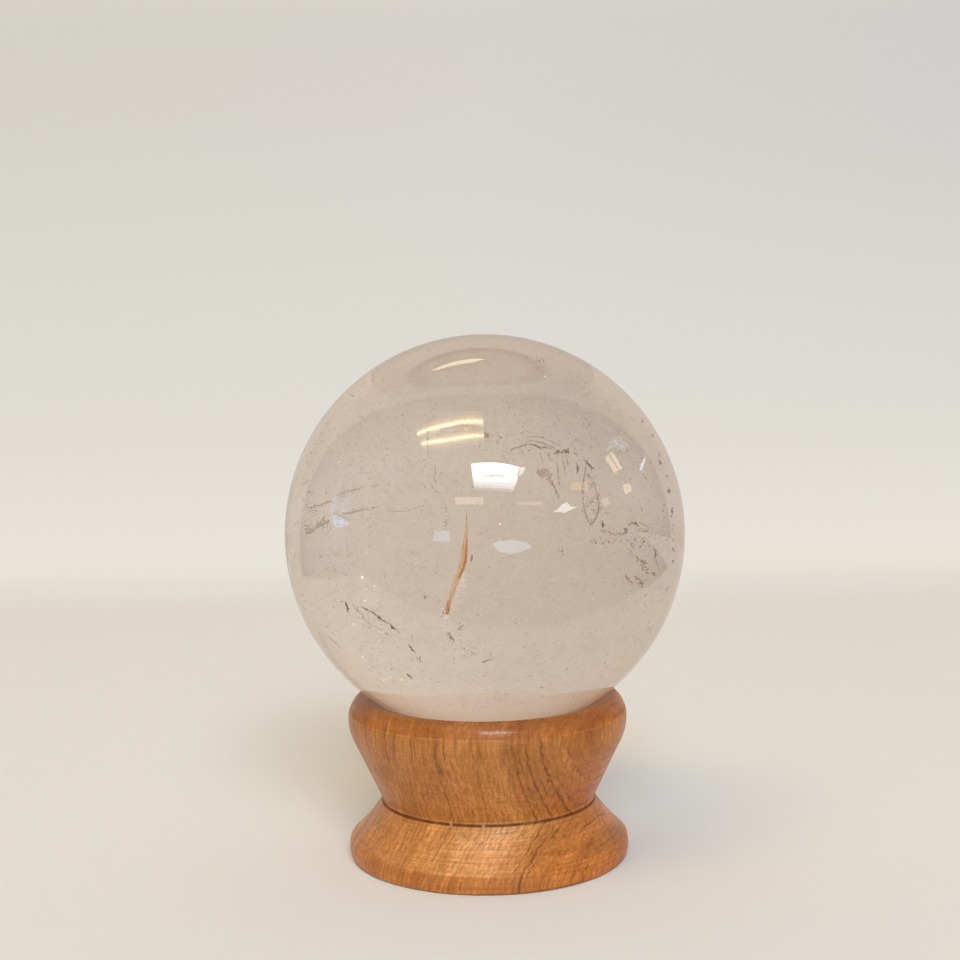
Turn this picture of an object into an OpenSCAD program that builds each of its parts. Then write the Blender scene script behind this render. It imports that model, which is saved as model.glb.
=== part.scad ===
// Polished quartz sphere resting in a turned wooden stand.
// Frame: +Z up, origin at the centre of the stand's underside, on the surface it stands on.
// Both pieces are round about Z. Millimetres.

/* [Sphere] */
// Diameter of the quartz sphere
sphere_d = 76; // [72:0.5:84]

/* [Stand rim] */
// Radius of the edge that the sphere rests on
seat_r = 21.2; // [19:0.1:22]
// Widest radius of the rim
rim_r = 26.75; // [26:0.05:29]
// Height of the rim's widest line
rim_z = 26.6; // [24:0.1:32]
// Radius of the rounded outer shoulder above the widest line
shoulder_r = 5.5; // [5.2:0.1:6]
// How far the seat edge stands above the widest line
seat_rise = 3.4; // [2.6:0.1:3.6]
// How far the rim's crest stands above the seat edge
crest_rise = 0.85; // [0.6:0.05:1.1]
// Radius of the easing at the rim's crest
crest_ease = 1.1; // [0.6:0.1:1.2]
// Radius of the belly that blends the rim into the cup's wall
belly_r = 9.3; // [7:0.1:11]
// Gap between the sphere and the bottom of the dish
dish_gap = 1; // [0.6:0.1:3]

/* [Stand waist] */
// Radius at the bottom of the V
waist_r = 20.5; // [17:0.1:21]
// Height of the V
waist_z = 11.05; // [10:0.05:12]
// Height of the narrow land at the bottom of the V
waist_land = 0.6; // [0.4:0.1:1]

/* [Stand base] */
// Widest radius of the base band
base_r = 26.9; // [26:0.1:30]
// Height of the base band's widest line
base_z = 1.9; // [1.5:0.1:2]
// Height of the edge between the band and the base's upper slope
band_z = 3.55; // [3.4:0.05:4]
// Radius of the flat underside
foot_r = 26.6; // [25:0.05:26.7]
// How far the base's upper slope is hollowed below a straight line
cove = 0.34; // [0.2:0.02:0.8]
// Radius of the easing on the band's upper edge
edge_ease = 0.8; // [0.4:0.1:1]

/* [Hidden] */
$fn = 180;
sphere_r = sphere_d / 2;
seat_z = rim_z + seat_rise;
// The sphere's centre follows from its radius and the seat edge.
sphere_z = seat_z + sqrt(pow(sphere_r, 2) - pow(seat_r, 2));
crest_z = seat_z + crest_rise;
// The dish is a ball-shaped hollow through the seat edge, a little deeper than the sphere.
dish_z = sphere_z - sphere_r - dish_gap;
dish_rise = seat_z - dish_z;
dish_R = (pow(seat_r, 2) + pow(dish_rise, 2)) / (2 * dish_rise);
dish_cz = dish_z + dish_R;

// Points on an arc about c, from angle a0 to angle a1.
function arc(c, r, a0, a1, n) =
    [for (i = [0 : n]) let (a = a0 + (a1 - a0) * i / n) [c[0] + r * cos(a), c[1] + r * sin(a)]];

function len2(v) = sqrt(v[0] * v[0] + v[1] * v[1]);
function unit(v) = v / len2(v);

// A corner p between a and b, rounded to radius r.
function eased(a, p, b, r, n) =
    let (u = unit(a - p), w = unit(b - p),
         half = acos(u * w) / 2,
         t = r / tan(half),
         c = p + unit(u + w) * r / sin(half),
         s = p + u * t - c, e = p + w * t - c,
         a0 = atan2(s[1], s[0]), a1r = atan2(e[1], e[0]),
         a1 = a1r - a0 > 180 ? a1r - 360 : a1r - a0 < -180 ? a1r + 360 : a1r)
    arc(c, r, a0, a1, n);

// A hollow arc from a to b: its middle lies s to the left of the straight way.
function sagged(a, b, s, n) =
    let (m = (a + b) / 2, d = unit(b - a), h = len2(b - a) / 2,
         r = (h * h + s * s) / (2 * s),
         c = m + [d[1], -d[0]] * (r - s),
         a0 = atan2(a[1] - c[1], a[0] - c[0]), a1r = atan2(b[1] - c[1], b[0] - c[0]),
         a1 = a1r - a0 > 180 ? a1r - 360 : a1r - a0 < -180 ? a1r + 360 : a1r)
    arc(c, r, a0, a1, n);

// Cup: the wall runs straight up from the waist and is tangent to the belly arc.
belly_c = [rim_r - belly_r, rim_z];
waist_top = [waist_r, waist_z + waist_land / 2];
waist_low = [waist_r, waist_z - waist_land / 2];
to_belly = waist_top - belly_c;
tangent_a = atan2(to_belly[1], to_belly[0]) + acos(belly_r / len2(to_belly));

// Shoulder: from the widest line up to the crest.
shoulder_c = [rim_r - shoulder_r, rim_z];
crest_a = asin((crest_z - rim_z) / shoulder_r);
crest = shoulder_c + shoulder_r * [cos(crest_a), sin(crest_a)];
seat = [seat_r, seat_z];
crest_before = shoulder_c + shoulder_r * [cos(crest_a - 14), sin(crest_a - 14)];

// Base: the band bulges a little, then the slope runs in to the waist as a shallow cove.
band_top = [base_r - 0.2, band_z];
slope_foot = band_top;
cove_pts = sagged(slope_foot, waist_low, cove, 14);

// Half section of the stand, anticlockwise from the middle of the underside.
stand_section = concat(
    [[0, 0]],
    eased([0, 0], [foot_r, 0], [base_r, base_z], 0.5, 4),
    [[base_r - 0.03, base_z - 0.55], [base_r, base_z], [base_r - 0.04, base_z + 0.6]],
    eased([base_r - 0.04, base_z + 0.6], band_top, cove_pts[2], edge_ease, 5),
    [for (i = [2 : 14]) cove_pts[i]],
    [waist_top],
    arc(belly_c, belly_r, tangent_a, 0, 10),
    arc(shoulder_c, shoulder_r, 5, crest_a - 14, 8),
    eased(crest_before, crest, seat, crest_ease, 6),
    arc([0, dish_cz], dish_R, -asin((dish_cz - seat_z) / dish_R), -90, 24)
);

module quartz_sphere() {
    color([0.80, 0.71, 0.63, 0.6])
        translate([0, 0, sphere_z]) sphere(r = sphere_r);
}

module wooden_stand() {
    color([0.66, 0.40, 0.21])
        rotate_extrude() polygon(stand_section);
}

quartz_sphere();
wooden_stand();
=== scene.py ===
import bpy
import bmesh
import math
import random
from mathutils import Matrix, Vector, noise


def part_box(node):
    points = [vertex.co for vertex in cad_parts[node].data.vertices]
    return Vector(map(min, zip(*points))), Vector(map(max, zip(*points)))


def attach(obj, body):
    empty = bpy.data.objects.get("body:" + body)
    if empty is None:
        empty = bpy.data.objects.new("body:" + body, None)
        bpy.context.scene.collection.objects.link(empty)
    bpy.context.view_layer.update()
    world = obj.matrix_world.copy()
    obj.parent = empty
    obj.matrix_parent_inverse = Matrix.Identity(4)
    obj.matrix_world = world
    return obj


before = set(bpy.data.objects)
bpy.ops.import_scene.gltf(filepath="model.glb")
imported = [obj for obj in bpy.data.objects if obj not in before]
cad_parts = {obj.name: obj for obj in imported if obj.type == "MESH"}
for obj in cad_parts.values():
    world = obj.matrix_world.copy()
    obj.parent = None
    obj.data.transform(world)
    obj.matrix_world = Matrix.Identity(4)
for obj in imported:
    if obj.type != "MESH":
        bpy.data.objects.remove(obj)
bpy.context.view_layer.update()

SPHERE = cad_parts["quartz_sphere"]
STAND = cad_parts["wooden_stand"]
s_lo, s_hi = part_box("quartz_sphere")
w_lo, w_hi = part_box("wooden_stand")
R = (s_hi.z - s_lo.z) / 2
CENTRE = Vector((0.0, 0.0, (s_hi.z + s_lo.z) / 2))

scene = bpy.context.scene
scene.view_settings.view_transform = "Standard"
scene.view_settings.look = "None"
scene.view_settings.exposure = 0.0
scene.view_settings.gamma = 1.0


# ---------------------------------------------------------------- camera
def make_camera():
    pitch, roll = math.radians(4.06), math.radians(-0.84)
    fwd = Vector((0.0, math.cos(pitch), -math.sin(pitch)))
    up0 = Vector((0.0, math.sin(pitch), math.cos(pitch)))
    right0 = Vector((1.0, 0.0, 0.0))
    c, s = math.cos(roll), math.sin(roll)
    right = right0 * c + up0 * s
    up = -right0 * s + up0 * c
    m = Matrix((right, up, -fwd)).transposed().to_4x4()
    m.translation = Vector((-0.00076, -0.2857, 0.0921))
    data = bpy.data.cameras.new("camera")
    data.sensor_width = 36.0
    data.lens = 56.25
    data.clip_start = 0.01
    data.clip_end = 20.0
    cam = bpy.data.objects.new("camera", data)
    cam.matrix_world = m
    scene.collection.objects.link(cam)
    scene.camera = cam
    return cam


# ---------------------------------------------------------------- node helpers
def new_material(name):
    m = bpy.data.materials.new(name)
    m.use_nodes = True
    m.node_tree.nodes.clear()
    return m, m.node_tree


def link_object(name, mesh):
    o = bpy.data.objects.new(name, mesh)
    scene.collection.objects.link(o)
    return o


def put(nt, sock, v):
    """Sets a socket to a number or tuple, or links it to another socket."""
    if isinstance(v, (int, float)):
        sock.default_value = v
    elif isinstance(v, (tuple, Vector)):
        sock.default_value = tuple(v) + (1.0,) if len(sock.default_value) == 4 and len(v) == 3 else tuple(v)
    else:
        nt.links.new(v, sock)


def math_node(nt, op, a, b=None, c=None, clamp=False):
    n = nt.nodes.new("ShaderNodeMath")
    n.operation = op
    n.use_clamp = clamp
    for i, v in enumerate((a, b, c)):
        if v is not None:
            put(nt, n.inputs[i], v)
    return n.outputs[0]


def vector_node(nt, op, a, b=None, out="Vector"):
    n = nt.nodes.new("ShaderNodeVectorMath")
    n.operation = op
    put(nt, n.inputs[0], a)
    if b is not None:
        put(nt, n.inputs[1], b)
    return n.outputs[out]


def ramp(nt, fac, stops, interpolation="LINEAR"):
    n = nt.nodes.new("ShaderNodeValToRGB")
    n.color_ramp.interpolation = interpolation
    el = n.color_ramp.elements
    while len(el) < len(stops):
        el.new(0.5)
    for e, (pos, col) in zip(el, stops):
        e.position = pos
        e.color = tuple(col) + (1.0,) if len(col) == 3 else col
    put(nt, n.inputs["Fac"], fac)
    return n.outputs["Color"]


def span(nt, v, lo, hi, a=0.0, b=1.0, kind="SMOOTHSTEP"):
    """v between lo and hi turned into a to b, held at both ends."""
    n = nt.nodes.new("ShaderNodeMapRange")
    n.interpolation_type = kind
    for sock, x in zip(n.inputs[:5], (v, lo, hi, a, b)):
        put(nt, sock, x)
    return n.outputs[0]


def mix_color(nt, fac, a, b, blend="MIX"):
    n = nt.nodes.new("ShaderNodeMix")
    n.data_type = "RGBA"
    n.blend_type = blend
    for sock, v in ((n.inputs[0], fac), (n.inputs[6], a), (n.inputs[7], b)):
        put(nt, sock, v)
    return n.outputs[2]


def noise_node(nt, vector, scale, detail=2.0, rough=0.5, out="Fac", distortion=0.0):
    n = nt.nodes.new("ShaderNodeTexNoise")
    put(nt, n.inputs["Vector"], vector)
    n.inputs["Scale"].default_value = scale
    n.inputs["Detail"].default_value = detail
    n.inputs["Roughness"].default_value = rough
    n.inputs["Distortion"].default_value = distortion
    return n.outputs[out]


def split(nt, v):
    n = nt.nodes.new("ShaderNodeSeparateXYZ")
    put(nt, n.inputs[0], v)
    return n.outputs[0], n.outputs[1], n.outputs[2]


def join(nt, x, y, z):
    n = nt.nodes.new("ShaderNodeCombineXYZ")
    for sock, v in zip(n.inputs, (x, y, z)):
        put(nt, sock, v)
    return n.outputs[0]


def mirror_ray(nt):
    """1 for a ray that a polished surface reflects, 0 for one that glass lets through."""
    lp = nt.nodes.new("ShaderNodeLightPath")
    kept = math_node(nt, "SUBTRACT", 1.0, lp.outputs["Is Transmission Ray"])
    return math_node(nt, "MULTIPLY", lp.outputs["Is Glossy Ray"], kept), lp


def room_mask(nt, heading):
    """1 where a reflection looks at the pale sweep behind the ball, 0 where it looks into the darker room in front."""
    x, y, z = split(nt, heading)
    z2 = math_node(nt, "MULTIPLY", z, z)
    lim = math_node(nt, "SUBTRACT", 1.0, z2, clamp=True)
    lim = math_node(nt, "POWER", lim, 0.9)
    lim = math_node(nt, "MULTIPLY", lim, 0.58)
    d = math_node(nt, "SUBTRACT", y, lim)
    pale = math_node(nt, "MULTIPLY_ADD", d, 1 / 0.05, 0.5, clamp=True)
    # a darker oval over the sweep's top edge, darkest at its own edge
    ex = math_node(nt, "MULTIPLY", math_node(nt, "ADD", x, 0.03), 1 / 0.39)
    ey = math_node(nt, "MULTIPLY", math_node(nt, "SUBTRACT", y, 0.40), 1 / 0.285)
    e = math_node(nt, "SQRT", math_node(nt, "ADD", math_node(nt, "MULTIPLY", ex, ex), math_node(nt, "MULTIPLY", ey, ey)))
    oval = ramp(nt, math_node(nt, "MULTIPLY", e, 0.5), [(0.0, (0.55,) * 3), (0.36, (0.55,) * 3), (0.42, (1.0,) * 3), (0.475, (0.95,) * 3), (0.53, (0.0,) * 3)])
    above = math_node(nt, "GREATER_THAN", z, 0.5)
    oval = math_node(nt, "MULTIPLY", oval, above)
    return math_node(nt, "MULTIPLY", pale, math_node(nt, "SUBTRACT", 1.0, oval))


# ---------------------------------------------------------------- stage
ROOM = (0.060, 0.052, 0.047)
FLOOR = (0.80, 0.745, 0.655)
FAR = (0.77, 0.73, 0.64)
# glowing colour of the pale sweep behind the object by height in metres: painted light that fades with height
SWEEP = [(0.0052, (0.790, 0.742, 0.642)), (0.0083, (0.802, 0.762, 0.672)), (0.0119, (0.806, 0.773, 0.690)),
         (0.0192, (0.806, 0.771, 0.700)), (0.0355, (0.785, 0.755, 0.690)), (0.0617, (0.755, 0.725, 0.662)),
         (0.0890, (0.738, 0.712, 0.660)), (0.1168, (0.728, 0.703, 0.650)), (0.1443, (0.715, 0.690, 0.638)),
         (0.1715, (0.700, 0.677, 0.628)), (0.1987, (0.690, 0.665, 0.620)), (0.2257, (0.683, 0.655, 0.610)),
         (0.2526, (0.672, 0.648, 0.602)), (0.30, (0.740, 0.700, 0.630)), (0.40, (0.800, 0.750, 0.660))]


# where the pale cloth ends in front of the object, as (x, y) in metres: reflections show the room beyond it
FRONT_EDGE = [(-0.15, -0.095), (-0.04, -0.089), (-0.012, -0.083), (0.021, -0.079), (0.051, -0.066), (0.097, -0.049), (0.159, 0.006), (0.232, 0.145)]
# painted light and shade of the sweep as the ball shows it, by distance behind the object along the sweep, with a
# painted shade band just behind the object
THROUGH = [(0.06, (0.777, 0.688, 0.597)), (0.09, (0.703, 0.640, 0.560)), (0.13, (0.699, 0.652, 0.584)), (0.18, (0.735, 0.700, 0.635)),
           (0.25, (0.745, 0.715, 0.652)), (0.33, (0.738, 0.705, 0.638)), (0.42, (0.726, 0.695, 0.632)), (0.54, (0.720, 0.683, 0.613)),
           (0.68, (0.740, 0.690, 0.612)), (0.80, (0.745, 0.664, 0.560)), (1.00, (0.715, 0.590, 0.455)), (1.30, (0.67, 0.52, 0.37))]


def make_stage():
    y_wall, fillet, height = 0.41, 0.10, 1.1
    prof = [(-3.0, 0.0), (-1.2, 0.0), (-0.4, 0.0), (0.0, 0.0), (y_wall - fillet - 0.05, 0.0)]
    for i in range(0, 33):
        a = math.radians(-90 + 90 * i / 32)
        prof.append((y_wall - fillet + fillet * math.cos(a), fillet + fillet * math.sin(a)))
    prof += [(y_wall, 0.3), (y_wall, 0.7), (y_wall, height)]
    xs = [-3.0, -1.0, -0.4, 0.0, 0.4, 1.0, 3.0]
    bm = bmesh.new()
    rows = [[bm.verts.new((x, y, z)) for x in xs] for y, z in prof]
    for a, b in zip(rows, rows[1:]):
        for i in range(len(xs) - 1):
            bm.faces.new((a[i], a[i + 1], b[i + 1], b[i]))
    mesh = bpy.data.meshes.new("studio_floor")
    bm.to_mesh(mesh)
    bm.free()
    for p in mesh.polygons:
        p.use_smooth = True
    o = link_object("studio_floor", mesh)
    m, nt = new_material("studio_floor")
    out = nt.nodes.new("ShaderNodeOutputMaterial")
    pos = nt.nodes.new("ShaderNodeNewGeometry").outputs["Position"]
    x, y, z = split(nt, pos)
    mirrored, lp = mirror_ray(nt)

    # the sweep's glowing colour by height, a little cooler to the right: painted light, fading upwards and cooler to
    # the right
    pale = ramp(nt, math_node(nt, "MULTIPLY", z, 1 / 0.4, clamp=True), [(h / 0.4, c) for h, c in SWEEP])
    side = math_node(nt, "MULTIPLY_ADD", x, 1 / 0.44, 0.5, clamp=True)
    high = math_node(nt, "MULTIPLY_ADD", z, 1 / 0.2, -0.1, clamp=True)
    tint = ramp(nt, side, [(0.0, (0.985, 0.985, 0.965)), (0.5, (1.0, 1.0, 1.0)), (1.0, (0.935, 0.955, 0.985))])
    tint = mix_color(nt, high, (1.0, 1.0, 1.0), tint)
    pale = mix_color(nt, 1.0, pale, tint, "MULTIPLY")
    up = math_node(nt, "MULTIPLY_ADD", z, 1 / 0.0045, -0.003 / 0.0045, clamp=True)

    # far from the object every eye ray sees the same pale surface
    ln = vector_node(nt, "LENGTH", vector_node(nt, "MULTIPLY", pos, (1, 1, 0)), out="Value")
    far = math_node(nt, "MULTIPLY_ADD", ln, 1 / 0.5, -0.42 / 0.5, clamp=True)
    pale = mix_color(nt, up, FAR, pale)
    glow = math_node(nt, "MAXIMUM", up, far)

    # reflections see the sweep end at its edges, with the darker room beyond it
    heading = vector_node(nt, "NORMALIZE", vector_node(nt, "SUBTRACT", pos, CENTRE))
    wall_mask = room_mask(nt, heading)
    in_x = math_node(nt, "MULTIPLY_ADD", x, 1 / 0.02, 0.222 / 0.02, clamp=True)
    edge = ramp(nt, math_node(nt, "MULTIPLY_ADD", x, 2.0, 0.5, clamp=True), [(0.5 + 2 * ex, (4 * (ey + 0.1),) * 3) for ex, ey in FRONT_EDGE])
    in_y = math_node(nt, "SUBTRACT", y, math_node(nt, "MULTIPLY_ADD", edge, 0.25, -0.1))
    in_y = math_node(nt, "MULTIPLY_ADD", in_y, 1 / 0.012, 0.5, clamp=True)
    floor_mask = math_node(nt, "MAXIMUM", wall_mask, math_node(nt, "MULTIPLY", in_x, in_y))
    is_floor = math_node(nt, "LESS_THAN", z, 0.004)
    mask = span(nt, is_floor, 0.0, 1.0, wall_mask, floor_mask, "LINEAR")
    dark = math_node(nt, "MULTIPLY", math_node(nt, "SUBTRACT", 1.0, mask), mirrored)
    pale = mix_color(nt, mirrored, pale, mix_color(nt, 1.0, pale, (0.87, 0.85, 0.82), "MULTIPLY"))
    seen = mix_color(nt, dark, pale, ROOM)
    own = math_node(nt, "MAXIMUM", glow, dark)

    # through the ball the floor and sweep behind it show as one soft glowing field of painted light and shade, darker
    # towards the sides
    along = math_node(nt, "ADD", y, z)
    soft = ramp(nt, math_node(nt, "MULTIPLY", along, 1 / 1.3, clamp=True), [(s / 1.3, c) for s, c in THROUGH])
    across = ramp(nt, math_node(nt, "MULTIPLY_ADD", x, 0.5, 0.5, clamp=True), [
        (0.0, (0.68, 0.66, 0.645)), (0.18, (0.78, 0.765, 0.755)), (0.32, (0.86, 0.845, 0.84)), (0.43, (0.925, 0.915, 0.91)), (0.47, (0.95, 0.95, 0.952)),
        (0.5, (0.99, 0.99, 0.99)), (0.53, (1.02, 1.03, 1.035)), (0.59, (1.035, 1.045, 1.055)), (0.68, (1.01, 1.01, 1.015)), (0.80, (0.94, 0.925, 0.92)), (1.0, (0.80, 0.78, 0.775))])
    soft = mix_color(nt, 1.0, soft, across, "MULTIPLY")
    through = math_node(nt, "MULTIPLY", lp.outputs["Is Transmission Ray"], span(nt, along, -0.02, 0.048))
    seen = mix_color(nt, through, seen, soft)
    own = math_node(nt, "MAXIMUM", own, through)

    dif = nt.nodes.new("ShaderNodeBsdfDiffuse")
    put(nt, dif.inputs["Color"], FLOOR)
    em = nt.nodes.new("ShaderNodeEmission")
    put(nt, em.inputs["Color"], seen)
    mix = nt.nodes.new("ShaderNodeMixShader")
    put(nt, mix.inputs[0], own)
    nt.links.new(dif.outputs["BSDF"], mix.inputs[1])
    nt.links.new(em.outputs[0], mix.inputs[2])
    nt.links.new(mix.outputs[0], out.inputs["Surface"])
    mesh.materials.append(m)
    return o


WORLD = (0.38, 0.40, 0.45)


def make_world():
    w = bpy.data.worlds.new("studio")
    scene.world = w
    w.use_nodes = True
    nt = w.node_tree
    bg = nt.nodes["Background"]
    heading = nt.nodes.new("ShaderNodeTexCoord").outputs["Generated"]
    mirrored, lp = mirror_ray(nt)
    seen = mix_color(nt, room_mask(nt, heading), ROOM, (0.74, 0.715, 0.635))
    col = mix_color(nt, lp.outputs["Is Diffuse Ray"], FAR, WORLD)
    col = mix_color(nt, mirrored, col, seen)
    nt.links.new(col, bg.inputs["Color"])
    bg.inputs["Strength"].default_value = 1.0


def direction(az, el):
    """az 0 is the viewer's side and + is to the right."""
    a, e = math.radians(az), math.radians(el)
    return Vector((math.sin(a) * math.cos(e), -math.cos(a) * math.cos(e), math.sin(e)))


def panel(name, corners, dist, radiance, mirrored=None, lights=True):
    """A flat glowing panel whose corners are seen from the ball's centre at the given (az, el).
    mirrored is its colour in a polished surface; lights says if it also lights things."""
    dirs = [direction(*c) for c in corners]
    mid = sum(dirs, Vector()).normalized()
    pts = [CENTRE + d * (dist / d.dot(mid)) for d in dirs]
    mesh = bpy.data.meshes.new(name)
    mesh.from_pydata([tuple(p) for p in pts], [], [list(range(len(pts)))])
    o = link_object(name, mesh)
    m, nt = new_material(name)
    out = nt.nodes.new("ShaderNodeOutputMaterial")
    em = nt.nodes.new("ShaderNodeEmission")
    put(nt, em.inputs["Color"], radiance)
    if mirrored:
        flag, _ = mirror_ray(nt)
        put(nt, em.inputs["Color"], mix_color(nt, flag, radiance, mirrored))
    em.inputs["Strength"].default_value = 1.0
    nt.links.new(em.outputs[0], out.inputs["Surface"])
    mesh.materials.append(m)
    o.visible_camera = False
    o.visible_shadow = False
    o.visible_transmission = False
    o.visible_diffuse = lights
    return o


WINDOW = (12.4, 16.0, 20.6)
STRIP = (9.0, 6.3, 2.7)

STRIP_UPPER = [(-64.7, 54.9), (-62.1, 57.8), (-58.4, 60.7), (-51.8, 64.3), (-43.1, 67.4), (-30.5, 70.7), (-12.4, 72.3), (-0.3, 71.9),
               (0.1, 67.2), (-10.2, 67.6), (-25.7, 66.4), (-36.7, 63.0), (-45.2, 60.4), (-53.5, 58.0), (-57.9, 55.6), (-61.3, 53.7)]
STRIP_LOWER = [(-54.2, 51.7), (-48.9, 54.7), (-40.9, 56.8), (-32.5, 58.8), (-21.8, 61.3), (-8.8, 62.6), (0.6, 62.7),
               (0.4, 59.7), (-8.1, 58.9), (-19.8, 57.4), (-29.8, 55.2), (-37.7, 53.4), (-45.3, 51.3), (-51.1, 50.1)]
STRIP_BACK = [(-147.0, 59.1), (-153.3, 59.2), (-160.1, 59.5), (-167.8, 59.7), (-175.7, 60.0),
              (178.4, 61.0), (-174.9, 63.8), (-165.2, 63.7), (-156.7, 62.7), (-149.8, 61.6)]
# small bright things in the room: they show in the ball and light nothing
GLINTS = [
    ("warm_a", [(-17.7, 24.9), (-0.3, 25.1), (-0.9, 21.3), (-15.9, 21.1)], (3.25, 2.84, 1.9)),
    ("warm_b", [(18.4, 21.8), (32.8, 21.0), (32.3, 18.9), (18.2, 20.0)], (2.3, 1.8, 1.25)),
    ("warm_c", [(52.6, 27.3), (63.7, 26.2), (62.3, 21.4), (51.9, 24.3)], (2.7, 1.9, 0.6)),
    ("warm_d", [(85.0, 31.6), (89.5, 31.9), (89.9, 24.6), (85.8, 24.4)], (4.2, 3.6, 2.0)),
    ("warm_e", [(90.8, 31.9), (94.0, 31.8), (93.8, 24.3), (90.6, 24.4)], (4.2, 3.6, 2.0)),
    ("warm_f", [(87.4, 18.6), (93.5, 18.1), (93.2, 15.0), (87.1, 15.0)], (3.9, 3.1, 1.9)),
    ("warm_g", [(69.4, 16.7), (74.0, 16.3), (74.2, 13.5), (69.2, 13.9)], (2.6, 1.8, 1.4)),
    ("cool_a", [(38.0, 14.9), (44.0, 18.3), (47.0, 18.8), (48.6, 16.7), (52.4, 15.7), (46.8, 14.6), (44.2, 13.7), (41.3, 14.7)], (6.0, 7.1, 7.35)),
    ("cool_b", [(3.7, 0.8), (8.0, 2.3), (14.5, 2.4), (21.1, 1.2), (24.9, -1.7), (19.9, -3.6), (13.3, -4.9), (7.4, -3.5), (4.7, -0.7)], (2.2, 3.2, 4.2)),
    ("cool_c", [(-26.9, 7.0), (-18.6, 7.4), (-18.5, 2.0), (-27.6, 1.8)], (1.1, 2.35, 3.4)),
    ("cool_d", [(101.2, 33.5), (105.2, 33.1), (105.9, 31.3), (101.6, 31.5)], (1.6, 2.6, 3.4)),
    ("cool_i", [(97.5, 34.6), (104.5, 34.8), (110.8, 31.2), (110.0, 28.0), (104.0, 27.6), (98.5, 31.6)], (0.45, 0.75, 1.0)),
    ("cool_e", [(103.9, 30.9), (106.7, 29.8), (106.2, 28.9), (103.1, 30.0)], (1.2, 2.0, 3.0)),
    ("cool_f", [(87.8, 33.4), (92.6, 34.1), (98.4, 33.3), (97.9, 32.6), (92.5, 32.8)], (0.9, 1.7, 2.6)),
    ("cool_g", [(110.4, 29.5), (112.5, 27.4), (110.5, 26.5), (108.6, 28.0)], (0.6, 1.0, 1.6)),
    ("cool_h", [(120.2, 19.2), (119.1, 18.6), (112.9, 18.5), (108.9, 18.2), (107.7, 19.0), (111.2, 19.7)], (2.6, 3.6, 4.6)),
    ("warm_h", [(-44.9, 60.2), (-26.9, 65.2), (-6.3, 66.2), (-1.5, 63.7), (-22.1, 61.7), (-39.6, 57.6)], (0.9, 0.6, 0.2)),
]


def narrowed(outline, keep):
    """The middle of a band whose outline runs out along one edge and back along the other."""
    n = len(outline) // 2
    edge, back = outline[:n], outline[:n - 1:-1]
    res = []
    for a, b in zip(edge, back):
        mid = ((a[0] + b[0]) / 2, (a[1] + b[1]) / 2)
        res.append((mid[0] + (a[0] - mid[0]) * keep, mid[1] + (a[1] - mid[1]) * keep))
    for a, b in list(zip(edge, back))[::-1]:
        mid = ((a[0] + b[0]) / 2, (a[1] + b[1]) / 2)
        res.append((mid[0] + (b[0] - mid[0]) * keep, mid[1] + (b[1] - mid[1]) * keep))
    return res


def make_lights():
    panel("window_high", [(-9.3, 44.2), (-1.4, 45.0), (7.3, 44.9), (15.7, 43.6), (24.3, 41.1), (21.3, 36.2), (-7.6, 37.3)], 2.4, WINDOW, (15.0, 15.5, 16.0))
    top, low = [(-7.6, 37.3), (2.0, 36.9), (12.0, 36.6), (22.4, 36.15)], [(-6.0, 30.2), (1.6, 29.9), (9.5, 29.1), (17.1, 27.8)]
    for k, (f0, f1, mirrored) in enumerate([(-0.04, 0.42, (10.5, 11.2, 12.6)), (0.42, 0.66, (7.2, 8.2, 8.8)), (0.66, 0.86, (5.2, 5.8, 6.2)), (0.86, 1.05, (1.8, 1.9, 2.0))]):
        edges = [[(a + (c - a) * f, b + (d - b) * f) for (a, b), (c, d) in zip(top, low)] for f in (f0, f1)]
        panel("window_low_%d" % k, edges[0] + edges[1][::-1], 2.4, WINDOW, mirrored)
    panel("window_side", [(24.3, 41.1), (28.7, 40.4), (25.4, 37.0), (22.4, 36.15)], 2.4, WINDOW, (7.4, 7.1, 6.4))
    for name, outline in (("strip_upper", STRIP_UPPER), ("strip_lower", STRIP_LOWER)):
        panel(name + "_haze", narrowed(outline, 2.9), 2.48, (0, 0, 0), (0.85, 0.76, 0.40), lights=False)
        panel(name + "_glow", narrowed(outline, 1.85), 2.44, (0, 0, 0), (2.4, 2.0, 0.7), lights=False)
        panel(name, outline, 2.4, STRIP, (6.2, 5.0, 2.2))
        panel(name + "_core", narrowed(outline, 0.5), 2.36, STRIP, (12.0, 10.6, 6.6))
    panel("strip_back", STRIP_BACK, 0.7, (4.0, 3.5, 2.2), lights=False)
    for name, corners, radiance in GLINTS:
        panel(name, corners, 0.6, radiance, lights=False)


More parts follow.
